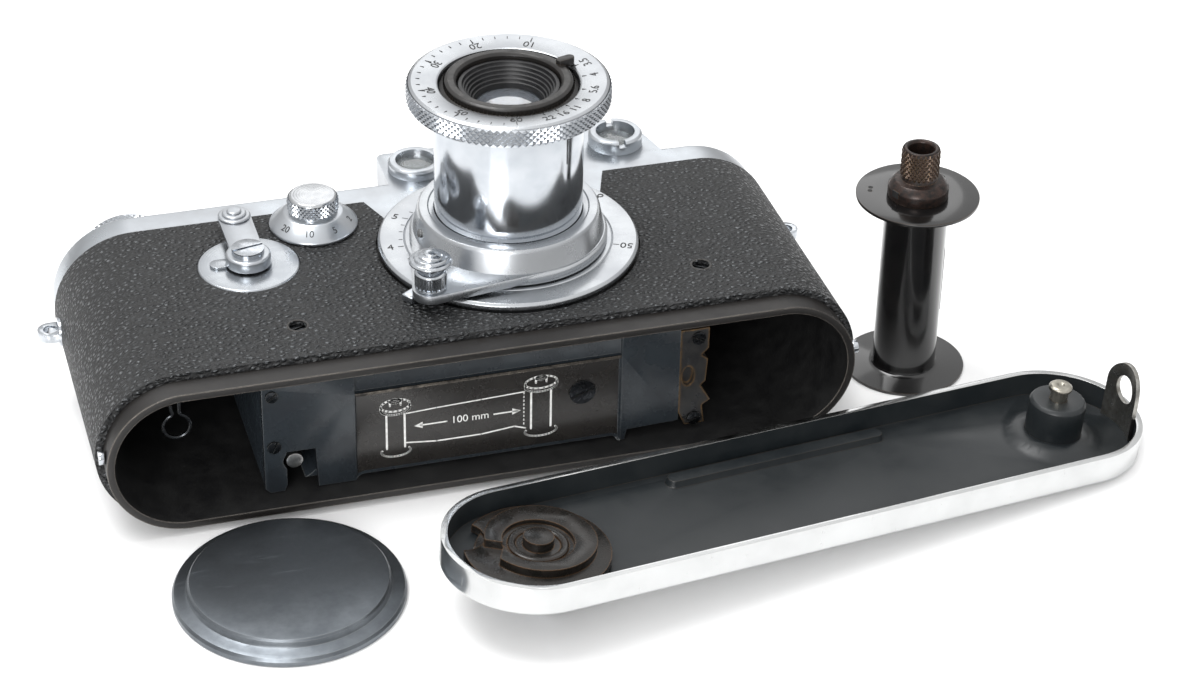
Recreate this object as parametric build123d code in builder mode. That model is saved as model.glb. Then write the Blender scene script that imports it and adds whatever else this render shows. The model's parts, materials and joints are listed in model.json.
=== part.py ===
"""Rangefinder camera with a collapsible screw-mount lens, opened for loading.

Millimetres. The camera lies on its back. The origin is where the lens axis meets the back,
+Z runs along the lens axis out of the front, +Y runs to the top of the camera and +X to the
right as seen from in front. The base plate, the take-up spool and the lens cap lie beside it.
"""
from math import asin, cos, degrees, pi, radians, sin
import os

from build123d import *

os.makedirs("parts", exist_ok=True)

# Body: a flattened tube with round ends
body_length = 136.0
body_depth = 30.0
body_x = -11.25              # middle of the body; the lens axis is at x = 0
covering_thickness = 1.3
shell_wall = 1.4
lip_y = -31.6                # open lower end of the shell
covering_bottom_y = -27.2
covering_top_y = 20.4        # the top cover starts here
top_plate_thickness = 1.2

# Top cover
cover_inset = 0.5            # how far the cover stands inside the covering's outline
cover_wall = 1.2
deck_y = 27.0
housing_left = -15.8
housing_right = 37.0
housing_shoulder = 34.2
housing_y = 37.5
housing_back_z = 3.0
tongue_left = -21.9
tongue_right = 23.6
tongue_low_y = 8.0
tongue_taper = 4.4

# Clearances
gap = 0.3                    # between pieces that move past each other
running = 0.05               # radial, shaft in its bearing
sliding = 0.1                # radial, tube in its guide

# Lens mount and lens
mount_ring_r = 22.0
mount_face_z = 30.3
thread_r = 19.5
mount_hub_r = 20.2
flange_r = 23.35
flange_top_z = 31.5
sleeve_r = 15.55
tube_r = 13.2
tube_wall = 1.0
tube_bottom_z = 26.5
ring_bottom_z = 59.1
ring_top_z = 63.0
ring_r = 18.0                # 36 mm front rim, taken by push-on caps and filters
ring_seat = 0.8              # how far the front ring laps over the tube's end
ring_bore_r = tube_r - ring_seat
focus_base_r = 17.7
focus_plate_bottom_z = 32.1
focus_plate_top_z = 33.7
focus_cone_r = 15.9
focus_top_z = 38.0
focus_arm_r = 25.05          # distance of the focus knob from the lens axis
focus_arm_angle = 222.7      # at infinity
focus_knob_r = 2.8
focus_knob_top_z = 37.3
infinity_button_r = 3.75
infinity_button_z = 38.7
infinity_button_top_z = 41.0
infinity_pin_r = 1.15
infinity_pin_bottom_z = 31.0

# Axes of the film transport and of the controls
takeup_x = -63.4
rewind_x = 40.45
sprocket_x = -45.3
sprocket_z = 9.05
release_x = -42.0
speed_dial_x = -27.0
shaft_r = 2.0
small_shaft_r = 1.5
lever_pin_r = 1.0
advance_knob_r = 9.5
advance_knob_top_y = 37.5
counter_r = 9.2
rewind_knob_r = 9.0
rewind_knob_top_y = 36.9
timer_x = -46.3
timer_y = 4.2
timer_disc_r = 9.05
timer_arm_length = 12.9
slow_dial_x = -32.4
slow_dial_y = 14.7
slow_dial_r = 8.0
slow_knob_r = 4.7
slow_knob_top_z = 36.4

# Windows and eyepieces
window_y = 30.9
left_window_x = -9.65
right_window_x = 29.2
viewfinder_x = 10.0
eyepiece_xs = (10.0, 20.6)
window_ring_r = 5.1
window_bore_r = 3.7
eyepiece_r = 3.8
eyepiece_bore_r = 2.7
glass_thickness = 0.9

# Shutter crate
crate_left = -50.6
crate_right = 24.0
crate_back_z = 4.4
crate_front_z = 24.4
crate_wall = 1.3
crate_bottom_y = -26.2
bottom_plate_thickness = 1.2
tunnel_r = 14.2
gate_width = 36.0
gate_height = 24.0
panel_left = -34.5
panel_right = 13.3
panel_recess = 0.7
drum_x = 18.0
drum_r = 4.5
roller_x = -22.0
roller_r = 3.5
curtain_thickness = 0.25
curtain_z = 6.0

# Base plate, lying inside up on its opened key
plate_x = 37.8
plate_y = -55.4
plate_turn = 11.45
plate_height = 5.4
plate_floor = 1.0
plate_wall = 1.15
key_reach = 9.0
key_thickness = 1.2
lock_disc_r = 10.4
lock_cam_r = 12.3
bush_boss_r = 5.1
bush_bore_r = 3.97           # 3/8 inch tripod thread, tapping size
bush_depth = 6.0
hook_angle = -6.0
hook_eye_r = 2.6
hook_eye_z = 8.7
hook_r = 4.9
hook_thickness = 0.8

# Take-up spool and cap
spool_gap = 16.25            # from the body's end to the spool's axis
spool_x = body_x + body_length / 2 + spool_gap
spool_y = -12.8
spool_flange_r = 11.2
spool_flange = 0.6
spool_core_r = 5.8
spool_flange_top_z = 36.6
spool_neck_top_z = 40.0
spool_top_z = 46.2
spool_collar_r = 3.55
cap_x = -51.6
cap_y = -52.2
cap_r = 19.55
cap_plateau_r = 16.9
cap_top_z = 3.6
cap_lining_r = 18.1

# Derived places
mid_z = body_depth / 2
shell_length = body_length - 2 * covering_thickness
shell_depth = body_depth - 2 * covering_thickness
shell_front_z = body_depth - covering_thickness
shell_back_z = covering_thickness
chamber_length = shell_length - 2 * shell_wall
chamber_depth = shell_depth - 2 * shell_wall
end_radius = body_depth / 2
cover_length = body_length - 2 * cover_inset
cover_depth = body_depth - 2 * cover_inset
cover_front_z = body_depth - cover_inset
top_plate_y = covering_top_y - top_plate_thickness
shell_height = covering_top_y - lip_y
lock_u = body_x - rewind_x
bush_u = body_x - takeup_x
plate_tilt = degrees(asin(key_reach / (body_length / 2 - lock_u)))


def level(y, x=0.0, z=0.0):
    """Plane across the camera at height y, as seen from under it: local X and Y run along X and Z."""
    return Plane(origin=(x, y, z), x_dir=(1, 0, 0), z_dir=(0, -1, 0))


def front(z, x=0.0, y=0.0):
    """Plane square to the lens axis: local X and Y run along X and Y."""
    return Plane(origin=(x, y, z), x_dir=(1, 0, 0), z_dir=(0, 0, 1))


def side(x, y=0.0, z=0.0):
    """Plane square to the long axis: local X and Y run along Y and Z."""
    return Plane(origin=(x, y, z), x_dir=(0, 1, 0), z_dir=(1, 0, 0))


def upright(x, z):
    """Axis through (x, z) that runs to the top of the camera."""
    return Axis((x, 0, z), (0, 1, 0))


def along_lens(x=0.0, y=0.0):
    """Axis through (x, y) that runs out of the front."""
    return Axis((x, y, 0), (0, 0, 1))


def polar(radius, angle):
    """Point at a distance and angle from the lens axis."""
    return (radius * cos(radians(angle)), radius * sin(radians(angle)))


focus_knob_x, focus_knob_y = polar(focus_arm_r, focus_arm_angle)

# ---------------------------------------------------------------- body

covering_screws_at = [(-42.0, -17.4), (31.1, -15.9)]
covering_screw_r = 1.5
screw_shank_r = 0.8
lug_y = 14.3
lug_base_r = 2.6
lug_eye_r = 1.25
lug_r = 2.3
lug_thickness = 1.6
lug_reach = 1.65             # eye centre beyond the end of the covering
stud_y = -29.4
stud_z = 17.0
stud_r = 1.2
stud_height = 1.0

with BuildPart() as body_shell:
    with BuildSketch(level(lip_y, body_x, mid_z)):
        SlotOverall(shell_length, shell_depth)
        SlotOverall(chamber_length, chamber_depth, mode=Mode.SUBTRACT)
    extrude(amount=-shell_height)
    with BuildSketch(front(shell_front_z)):
        Circle(mount_hub_r)
        with Locations((timer_x, timer_y), (slow_dial_x, slow_dial_y)):
            Circle(small_shaft_r + running)
        with Locations(covering_screws_at):
            Circle(screw_shank_r + running)
    extrude(amount=-shell_wall - running, mode=Mode.SUBTRACT)
body_shell.part.label = "body_shell"
export_step(body_shell.part, "parts/body_shell.step")

with BuildPart() as body_covering:
    with BuildSketch(level(covering_bottom_y, body_x, mid_z)):
        SlotOverall(body_length, body_depth)
        SlotOverall(shell_length, shell_depth, mode=Mode.SUBTRACT)
    extrude(amount=-(covering_top_y - covering_bottom_y))
    with BuildSketch(front(shell_front_z)):
        Circle(flange_r + gap)
        with Locations((timer_x, timer_y)):
            Circle(timer_disc_r + running)
        with Locations((slow_dial_x, slow_dial_y)):
            Circle(small_shaft_r + running)
        with Locations(covering_screws_at):
            Circle(covering_screw_r + running)
        with BuildLine():
            Polyline((tongue_left, covering_top_y), (tongue_left + tongue_taper, tongue_low_y),
                     (tongue_right - tongue_taper, tongue_low_y), (tongue_right, covering_top_y),
                     close=True)
        make_face()
    extrude(amount=covering_thickness, mode=Mode.SUBTRACT)
    for end in (-1, 1):
        with BuildSketch(side(body_x + end * body_length / 2, lug_y, mid_z)):
            Circle(lug_base_r + running)
        extrude(amount=-2 * end * covering_thickness, mode=Mode.SUBTRACT)
body_covering.part.label = "body_covering"
export_step(body_covering.part, "parts/body_covering.step")

with BuildPart() as covering_screws:
    screw_head = 0.6
    for screw_x, screw_y in covering_screws_at:
        with BuildSketch(front(shell_front_z, screw_x, screw_y)):
            Circle(covering_screw_r)
        extrude(amount=screw_head)
        with BuildSketch(front(shell_front_z - shell_wall, screw_x, screw_y)):
            Circle(screw_shank_r)
        extrude(amount=shell_wall)
        with BuildSketch(front(shell_front_z + screw_head, screw_x, screw_y)):
            Rectangle(2 * covering_screw_r, 0.4)
        extrude(amount=-screw_head / 2, mode=Mode.SUBTRACT)
covering_screws.part.label = "covering_screws"
export_step(covering_screws.part, "parts/covering_screws.step")

with BuildPart() as strap_lugs:
    for end in (-1, 1):
        shell_end_x = body_x + end * shell_length / 2
        eye_x = body_x + end * (body_length / 2 + lug_reach)
        with BuildSketch(side(shell_end_x, lug_y, mid_z)):
            Circle(lug_base_r)
        extrude(amount=end * (covering_thickness + gap))
        with BuildSketch(front(mid_z - lug_thickness / 2)):
            with Locations((eye_x, lug_y)):
                Circle(lug_r)
            with Locations((eye_x - end * lug_reach / 2, lug_y)):
                Rectangle(lug_reach, 2 * lug_r)
        extrude(amount=lug_thickness)
        with BuildSketch(front(mid_z - lug_thickness / 2)):
            with Locations((eye_x, lug_y)):
                Circle(lug_eye_r)
        extrude(amount=lug_thickness, mode=Mode.SUBTRACT)
strap_lugs.part.label = "strap_lugs"
export_step(strap_lugs.part, "parts/strap_lugs.step")

with BuildPart() as base_studs:
    for end in (-1, 1):
        with BuildSketch(side(body_x + end * shell_length / 2, stud_y, stud_z)):
            Circle(stud_r)
        extrude(amount=end * stud_height)
base_studs.part.label = "base_studs"
export_step(base_studs.part, "parts/base_studs.step")

# ---------------------------------------------------------------- top cover

housing_round = 1.5
knob_pocket_r = rewind_knob_r + 1.0
window_spigot_r = 3.95
viewfinder_width = 8.0
viewfinder_height = 5.5

with BuildPart() as top_cover:
    with BuildSketch(level(covering_top_y, body_x, mid_z)):
        SlotOverall(cover_length, cover_depth)
    extrude(amount=-(deck_y - covering_top_y))
    fillet(top_cover.edges().filter_by(Plane.XZ).group_by(Axis.Y)[-1], radius=1.1)
    with BuildSketch(front(housing_back_z)):
        with BuildLine():
            Polyline((housing_left, deck_y - cover_wall), (housing_left, housing_y),
                     (housing_shoulder, housing_y), (housing_right, deck_y - cover_wall), close=True)
        make_face()
        fillet([v for v in vertices() if v.Y > deck_y], radius=housing_round)
    extrude(amount=cover_front_z - housing_back_z)
    with BuildSketch(level(covering_top_y, body_x, mid_z)):
        SlotOverall(cover_length - 2 * cover_wall, cover_depth - 2 * cover_wall)
    extrude(amount=-(deck_y - cover_wall - covering_top_y), mode=Mode.SUBTRACT)
    with BuildSketch(front(housing_back_z + cover_wall)):
        with BuildLine():
            Polyline((housing_left + cover_wall, deck_y - 2 * cover_wall),
                     (housing_left + cover_wall, housing_y - cover_wall),
                     (housing_shoulder - 1.4 * cover_wall - knob_pocket_r / 3, housing_y - cover_wall),
                     (housing_shoulder - 1.4 * cover_wall - knob_pocket_r / 3, deck_y - 2 * cover_wall),
                     close=True)
        make_face()
    extrude(amount=cover_front_z - housing_back_z - 2 * cover_wall, mode=Mode.SUBTRACT)
    with BuildSketch(level(deck_y, rewind_x, mid_z)):
        Circle(knob_pocket_r)
    extrude(amount=-(housing_y - deck_y), mode=Mode.SUBTRACT)
    with BuildSketch(front(cover_front_z)):
        with Locations((left_window_x, window_y), (right_window_x, window_y)):
            Circle(window_spigot_r)
        with Locations((viewfinder_x, window_y)):
            Rectangle(viewfinder_width, viewfinder_height)
    extrude(amount=-cover_wall, mode=Mode.SUBTRACT)
    with BuildSketch(front(cover_front_z)):
        with Locations((right_window_x, window_y)):
            Circle(window_spigot_r)
    extrude(amount=-2.8, mode=Mode.SUBTRACT)
    with BuildSketch(front(housing_back_z)):
        with Locations(*[(x, window_y) for x in eyepiece_xs]):
            Circle(eyepiece_bore_r + 0.6)
    extrude(amount=cover_wall, mode=Mode.SUBTRACT)
    with BuildSketch(front(shell_front_z)):
        with BuildLine():
            Polyline((tongue_left, covering_top_y), (tongue_left + tongue_taper, tongue_low_y),
                     (tongue_right - tongue_taper, tongue_low_y), (tongue_right, covering_top_y),
                     close=True)
        make_face()
    extrude(amount=cover_front_z - shell_front_z)
    with BuildSketch(front(shell_front_z)):
        Circle(mount_ring_r + running)
    extrude(amount=covering_thickness, mode=Mode.SUBTRACT)
    with BuildSketch(level(deck_y)):
        with Locations((takeup_x, mid_z), (rewind_x, mid_z)):
            Circle(shaft_r + running)
        with Locations((speed_dial_x, mid_z)):
            Circle(small_shaft_r + running)
        with Locations((release_x, mid_z), (-49.5, 22.5)):
            Circle(lever_pin_r + running)
    extrude(amount=cover_wall, mode=Mode.SUBTRACT)
top_cover.part.label = "top_cover"
export_step(top_cover.part, "parts/top_cover.step")

with BuildPart() as window_rings:
    ring_slot = 1.3
    for window_x, ring_height in ((left_window_x, 1.9), (right_window_x, 2.6)):
        with BuildSketch(front(cover_front_z, window_x, window_y)):
            Circle(window_ring_r)
            Circle(window_bore_r, mode=Mode.SUBTRACT)
        extrude(amount=ring_height)
        with BuildSketch(front(cover_front_z, window_x, window_y)):
            Circle(window_spigot_r)
            Circle(window_bore_r - 0.4, mode=Mode.SUBTRACT)
        extrude(amount=-cover_wall)
    chamfer(window_rings.edges().filter_by(GeomType.CIRCLE).filter_by(
        lambda e: e.radius > window_spigot_r and e.center().Z > cover_front_z + 1), length=0.4)
    with BuildSketch(front(cover_front_z + ring_height, right_window_x, window_y)):
        Rectangle(ring_slot, 3 * window_ring_r)
    extrude(amount=-1.1, mode=Mode.SUBTRACT)
window_rings.part.label = "window_rings"
export_step(window_rings.part, "parts/window_rings.step")

with BuildPart() as window_glasses:
    for window_x in (left_window_x, right_window_x):
        with BuildSketch(front(cover_front_z, window_x, window_y)):
            Circle(window_bore_r - running)
        extrude(amount=glass_thickness)
    with BuildSketch(front(cover_front_z - cover_wall, viewfinder_x, window_y)):
        Rectangle(viewfinder_width, viewfinder_height)
    extrude(amount=glass_thickness)
    for window_x in eyepiece_xs:
        with BuildSketch(front(housing_back_z, window_x, window_y)):
            Circle(eyepiece_bore_r - running)
        extrude(amount=-glass_thickness)
window_glasses.part.label = "window_glasses"
export_step(window_glasses.part, "parts/window_glasses.step")

with BuildPart() as eyepieces:
    for window_x in eyepiece_xs:
        with BuildSketch(front(housing_back_z, window_x, window_y)):
            Circle(eyepiece_r)
            Circle(eyepiece_bore_r, mode=Mode.SUBTRACT)
        extrude(amount=-2.4)
    chamfer(eyepieces.edges().filter_by(GeomType.CIRCLE).group_by(Axis.Z)[0], length=0.5)
eyepieces.part.label = "eyepieces"
export_step(eyepieces.part, "parts/eyepieces.step")

shoe_x = 8.0
shoe_width = 21.0
shoe_channel = 18.7
shoe_mouth = 12.5
shoe_length = 18.0
shoe_base = 0.9
shoe_slot = 2.1
shoe_lip = 0.9
shoe_screw_r = 1.2
shoe_screws_at = [(sx, sz) for sx in (-5.0, 5.0) for sz in (-5.0, 5.0)]

with BuildPart() as accessory_shoe:
    with BuildSketch(front(mid_z - shoe_length / 2, shoe_x, housing_y)):
        with Locations((0, (shoe_base + shoe_slot + shoe_lip) / 2)):
            Rectangle(shoe_width, shoe_base + shoe_slot + shoe_lip)
        with Locations((0, shoe_base + shoe_slot / 2)):
            Rectangle(shoe_channel, shoe_slot, mode=Mode.SUBTRACT)
        with Locations((0, shoe_base + shoe_slot + shoe_lip / 2)):
            Rectangle(shoe_mouth, shoe_lip, mode=Mode.SUBTRACT)
    extrude(amount=shoe_length)
    with BuildSketch(level(housing_y, shoe_x, mid_z)):
        with Locations(shoe_screws_at):
            Circle(shoe_screw_r + running)
    extrude(amount=-shoe_base, mode=Mode.SUBTRACT)
accessory_shoe.part.label = "accessory_shoe"
export_step(accessory_shoe.part, "parts/accessory_shoe.step")

with BuildPart() as shoe_screws:
    with BuildSketch(level(housing_y, shoe_x, mid_z)):
        with Locations(shoe_screws_at):
            Circle(shoe_screw_r)
    extrude(amount=-shoe_base)
    with BuildSketch(level(housing_y + shoe_base, shoe_x, mid_z)):
        with Locations(shoe_screws_at):
            Rectangle(2 * shoe_screw_r, 0.4)
    extrude(amount=shoe_base / 3, mode=Mode.SUBTRACT)
shoe_screws.part.label = "shoe_screws"
export_step(shoe_screws.part, "parts/shoe_screws.step")

# ---------------------------------------------------------------- controls on the deck

with BuildPart() as advance_knob:
    with BuildSketch(level(deck_y + 1.9, takeup_x, mid_z)):
        Circle(advance_knob_r)
    extrude(amount=-(advance_knob_top_y - deck_y - 1.9))
    chamfer(advance_knob.edges().filter_by(GeomType.CIRCLE), length=0.6)
    with BuildSketch(level(advance_knob_top_y, takeup_x, mid_z)):
        Circle(advance_knob_r - 2.2)
    extrude(amount=0.5, mode=Mode.SUBTRACT)
advance_knob.part.label = "advance_knob"
export_step(advance_knob.part, "parts/advance_knob.step")

with BuildPart() as frame_counter:
    with BuildSketch(level(deck_y + gap, takeup_x, mid_z)):
        Circle(counter_r)
        Circle(shaft_r + sliding, mode=Mode.SUBTRACT)
    extrude(amount=-1.3)
    chamfer(frame_counter.edges().filter_by(GeomType.CIRCLE).group_by(Axis.Y)[-1].sort_by(
        SortBy.RADIUS)[-1], length=0.8)
frame_counter.part.label = "frame_counter"
export_step(frame_counter.part, "parts/frame_counter.step")

takeup_shaft_low_y = 9.0

with BuildPart() as takeup_shaft:
    with BuildSketch(level(takeup_shaft_low_y, takeup_x, mid_z)):
        Circle(shaft_r)
    extrude(amount=-(deck_y + 1.9 - takeup_shaft_low_y))
    with BuildSketch(level(top_plate_y - gap - 1.2, takeup_x, mid_z)):
        Circle(6.0)
    extrude(amount=-1.2)
    with BuildSketch(level(takeup_shaft_low_y + 2.0, takeup_x, mid_z)):
        Rectangle(7.4, 1.2)
    extrude(amount=-2.0)
takeup_shaft.part.label = "takeup_shaft"
export_step(takeup_shaft.part, "parts/takeup_shaft.step")

release_r = 2.2
collar_r = 4.2

with BuildPart() as release_collar:
    with BuildSketch(level(deck_y, release_x, mid_z)):
        Circle(collar_r)
        Circle(release_r + sliding, mode=Mode.SUBTRACT)
    extrude(amount=-3.4)
    chamfer(release_collar.edges().filter_by(GeomType.CIRCLE).group_by(Axis.Y)[-1].sort_by(
        SortBy.RADIUS)[-1], length=0.7)
release_collar.part.label = "release_collar"
export_step(release_collar.part, "parts/release_collar.step")

with BuildPart() as release_button:
    release_low_y = deck_y + 1.9
    with BuildSketch(level(release_low_y, release_x, mid_z)):
        Circle(release_r)
    extrude(amount=-2.2)
    fillet(release_button.edges().filter_by(GeomType.CIRCLE).group_by(Axis.Y)[-1], radius=0.5)
    with BuildSketch(level(deck_y - 4.0, release_x, mid_z)):
        Circle(lever_pin_r)
    extrude(amount=-(release_low_y - deck_y + 4.0))
release_button.part.label = "release_button"
export_step(release_button.part, "parts/release_button.step")

with BuildPart() as speed_dial:
    with BuildSketch(level(deck_y + gap, speed_dial_x, mid_z)):
        Circle(7.5)
    extrude(amount=-1.0)
    with BuildSketch(level(deck_y + gap + 1.0, speed_dial_x, mid_z)):
        Circle(6.6)
    extrude(amount=-5.0)
    chamfer(speed_dial.edges().filter_by(GeomType.CIRCLE).group_by(Axis.Y)[-1], length=0.5)
    with BuildSketch(level(deck_y - 4.0, speed_dial_x, mid_z)):
        Circle(small_shaft_r)
    extrude(amount=-(4.0 + gap))
speed_dial.part.label = "speed_dial"
export_step(speed_dial.part, "parts/speed_dial.step")

with BuildPart() as rewind_lever:
    with BuildSketch(level(deck_y + gap, -49.5, 22.5)):
        SlotCenterPoint((3.2, 0), (6.4, 0), 2.4)
        Circle(2.2)
    extrude(amount=-1.0)
    with BuildSketch(level(deck_y + gap + 1.0, -49.5 + 6.0, 22.5)):
        Circle(1.0)
    extrude(amount=-1.2)
    with BuildSketch(level(deck_y - 3.0, -49.5, 22.5)):
        Circle(lever_pin_r)
    extrude(amount=-(3.0 + gap))
rewind_lever.part.label = "rewind_lever"
export_step(rewind_lever.part, "parts/rewind_lever.step")

rewind_shaft_top_y = 34.0
rewind_fork_y = 9.0

with BuildPart() as rewind_shaft:
    with BuildSketch(level(rewind_fork_y, rewind_x, mid_z)):
        Circle(shaft_r)
    extrude(amount=-(rewind_shaft_top_y - rewind_fork_y))
    with BuildSketch(level(top_plate_y - gap - 1.2, rewind_x, mid_z)):
        Circle(4.5)
    extrude(amount=-1.2)
    with BuildSketch(level(rewind_fork_y, rewind_x, mid_z)):
        Rectangle(1.4, 3 * shaft_r)
    extrude(amount=-4.0, mode=Mode.SUBTRACT)
rewind_shaft.part.label = "rewind_shaft"
export_step(rewind_shaft.part, "parts/rewind_shaft.step")

with BuildPart() as rewind_knob:
    with BuildSketch(level(deck_y + 1.6, rewind_x, mid_z)):
        Circle(rewind_knob_r)
    extrude(amount=-(rewind_knob_top_y - deck_y - 1.6))
    chamfer(rewind_knob.edges().filter_by(GeomType.CIRCLE), length=0.6)
    with BuildSketch(level(deck_y + 1.6, rewind_x, mid_z)):
        Circle(shaft_r + running)
    extrude(amount=-(rewind_shaft_top_y - deck_y - 1.6 + gap), mode=Mode.SUBTRACT)
    with BuildSketch(level(rewind_knob_top_y, rewind_x, mid_z)):
        Circle(rewind_knob_r - 2.0)
    extrude(amount=0.5, mode=Mode.SUBTRACT)
rewind_knob.part.label = "rewind_knob"
export_step(rewind_knob.part, "parts/rewind_knob.step")

with BuildPart() as diopter_lever:
    with BuildSketch(level(deck_y + gap, rewind_x, mid_z)):
        Circle(rewind_knob_r - 0.3)
        with Locations((rewind_knob_r + 0.5, 0)):
            SlotOverall(6.0, 2.6)
        Circle(shaft_r + sliding, mode=Mode.SUBTRACT)
    extrude(amount=-0.9)
diopter_lever.part.label = "diopter_lever"
export_step(diopter_lever.part, "parts/diopter_lever.step")

# ---------------------------------------------------------------- controls on the front

timer_disc_top_z = 30.2
timer_boss_r = 4.0
timer_boss_top_z = 32.6
timer_arm_width = 5.8
timer_arm_thickness = 0.9
timer_button_r = 3.0

with BuildPart() as timer_disc:
    with BuildSketch(front(shell_front_z, timer_x, timer_y)):
        Circle(timer_disc_r)
    extrude(amount=timer_disc_top_z - shell_front_z)
    with BuildSketch(front(timer_disc_top_z, timer_x, timer_y)):
        with Locations((-4.9, 0.6)):
            SlotOverall(3.4, 2.9)
    extrude(amount=0.5)
    with BuildSketch(front(shell_front_z, timer_x, timer_y)):
        Circle(small_shaft_r + running)
    extrude(amount=timer_disc_top_z - shell_front_z + 0.5, mode=Mode.SUBTRACT)
    with BuildSketch(front(timer_disc_top_z, timer_x, timer_y)):
        Circle(timer_boss_r + 0.1)
    extrude(amount=0.5, mode=Mode.SUBTRACT)
timer_disc.part.label = "timer_disc"
export_step(timer_disc.part, "parts/timer_disc.step")

with BuildPart() as timer_lever:
    with BuildSketch(front(timer_disc_top_z + gap, timer_x, timer_y)):
        Circle(timer_boss_r)
    extrude(amount=timer_boss_top_z - timer_disc_top_z - gap)
    with BuildSketch(front(timer_boss_top_z - timer_arm_thickness, timer_x, timer_y)):
        with Locations((0, timer_arm_length / 2)):
            Rectangle(timer_arm_width, timer_arm_length)
        with Locations((0, timer_arm_length)):
            Circle(timer_button_r)
    extrude(amount=timer_arm_thickness)
    for step, step_r in enumerate((3.0, 2.2, 1.3)):
        with BuildSketch(front(timer_boss_top_z + 0.45 * step, timer_x, timer_y + timer_arm_length)):
            Circle(step_r)
        extrude(amount=0.45)
    with BuildSketch(front(shell_front_z - shell_wall - 1.0, timer_x, timer_y)):
        Circle(small_shaft_r)
    extrude(amount=timer_disc_top_z + gap - shell_front_z + shell_wall + 1.0)
timer_lever.part.label = "timer_lever"
export_step(timer_lever.part, "parts/timer_lever.step")

with BuildPart() as timer_screw:
    with BuildSketch(front(timer_boss_top_z, timer_x, timer_y)):
        Circle(2.9)
    extrude(amount=1.0)
    chamfer(timer_screw.edges().filter_by(GeomType.CIRCLE).group_by(Axis.Z)[-1], length=0.3)
    with BuildSketch(front(timer_boss_top_z + 1.0, timer_x, timer_y)):
        Rectangle(8.0, 0.55, rotation=12)
    extrude(amount=-0.6, mode=Mode.SUBTRACT)
timer_screw.part.label = "timer_screw"
export_step(timer_screw.part, "parts/timer_screw.step")

slow_dial_bottom_z = body_depth + gap
slow_dial_top_z = 33.1
slow_shaft_r = 1.2

with BuildPart() as slow_dial:
    with BuildSketch(Plane.XZ.offset(-slow_dial_y)):
        with BuildLine():
            Polyline((slow_dial_x + slow_shaft_r, slow_dial_bottom_z),
                     (slow_dial_x + slow_dial_r, slow_dial_bottom_z),
                     (slow_dial_x + slow_dial_r, slow_dial_bottom_z + 0.5),
                     (slow_dial_x + slow_knob_r + 0.6, slow_dial_top_z),
                     (slow_dial_x + slow_shaft_r, slow_dial_top_z), close=True)
        make_face()
    revolve(axis=along_lens(slow_dial_x, slow_dial_y))
slow_dial.part.label = "slow_dial"
export_step(slow_dial.part, "parts/slow_dial.step")

with BuildPart() as slow_dial_knob:
    with BuildSketch(front(slow_dial_top_z, slow_dial_x, slow_dial_y)):
        Circle(slow_knob_r)
    extrude(amount=slow_knob_top_z - slow_dial_top_z)
    chamfer(slow_dial_knob.edges().filter_by(GeomType.CIRCLE).group_by(Axis.Z)[-1], length=0.4)
    with BuildSketch(front(shell_front_z - shell_wall - 1.0, slow_dial_x, slow_dial_y)):
        Circle(slow_shaft_r)
    extrude(amount=slow_dial_top_z - shell_front_z + shell_wall + 1.0)
slow_dial_knob.part.label = "slow_dial_knob"
export_step(slow_dial_knob.part, "parts/slow_dial_knob.step")

# ---------------------------------------------------------------- lens mount

mount_screw_r = 0.9
mount_screw_ring_r = 21.2

with BuildPart() as lens_mount_ring:
    with BuildSketch(front(shell_front_z)):
        Circle(mount_ring_r)
    extrude(amount=mount_face_z - shell_front_z)
    with BuildSketch(front(crate_front_z)):
        Circle(mount_hub_r - running)
    extrude(amount=shell_front_z - crate_front_z)
    with BuildSketch(front(crate_front_z)):
        Circle(thread_r)
    extrude(amount=mount_face_z - crate_front_z, mode=Mode.SUBTRACT)
    with BuildSketch(front(mount_face_z)):
        with PolarLocations(mount_screw_ring_r, 4, start_angle=45):
            Circle(mount_screw_r - 0.2)
    extrude(amount=-(mount_face_z - shell_front_z), mode=Mode.SUBTRACT)
lens_mount_ring.part.label = "lens_mount_ring"
export_step(lens_mount_ring.part, "parts/lens_mount_ring.step")

with BuildPart() as mount_screws:
    with BuildSketch(front(shell_front_z)):
        with PolarLocations(mount_screw_ring_r, 4, start_angle=45):
            Circle(mount_screw_r - 0.2 - running)
    extrude(amount=mount_face_z - shell_front_z - 0.1)
mount_screws.part.label = "mount_screws"
export_step(mount_screws.part, "parts/mount_screws.step")

with BuildPart() as lens_flange:
    with BuildSketch(front(mount_face_z)):
        Circle(flange_r)
    extrude(amount=flange_top_z - mount_face_z)
    chamfer(lens_flange.edges().filter_by(GeomType.CIRCLE).group_by(Axis.Z)[-1], length=0.35)
    with BuildSketch(front(crate_front_z + gap)):
        Circle(thread_r - running)
    extrude(amount=mount_face_z - crate_front_z - gap)
    with BuildSketch(front(crate_front_z + gap)):
        Circle(sleeve_r + sliding)
    extrude(amount=flange_top_z - crate_front_z - gap, mode=Mode.SUBTRACT)
lens_flange.part.label = "lens_flange"
export_step(lens_flange.part, "parts/lens_flange.step")

catch_outer_r = 26.6
catch_angle = 214.5
catch_width = 2.4

with BuildPart() as infinity_catch:
    with BuildSketch(front(body_depth + 0.2)):
        with Locations(Location(polar((flange_r + catch_outer_r) / 2, catch_angle), catch_angle)):
            Rectangle(catch_outer_r - flange_r + 1.0, catch_width)
        Circle(flange_r, mode=Mode.SUBTRACT)
    extrude(amount=flange_top_z - body_depth - 0.2)
infinity_catch.part.label = "infinity_catch"
export_step(infinity_catch.part, "parts/infinity_catch.step")

with BuildPart() as helicoid_sleeve:
    with BuildSketch(front(crate_front_z + gap)):
        Circle(sleeve_r)
        Circle(tube_r + sliding, mode=Mode.SUBTRACT)
    extrude(amount=flange_top_z - crate_front_z)
helicoid_sleeve.part.label = "helicoid_sleeve"
export_step(helicoid_sleeve.part, "parts/helicoid_sleeve.step")

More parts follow.
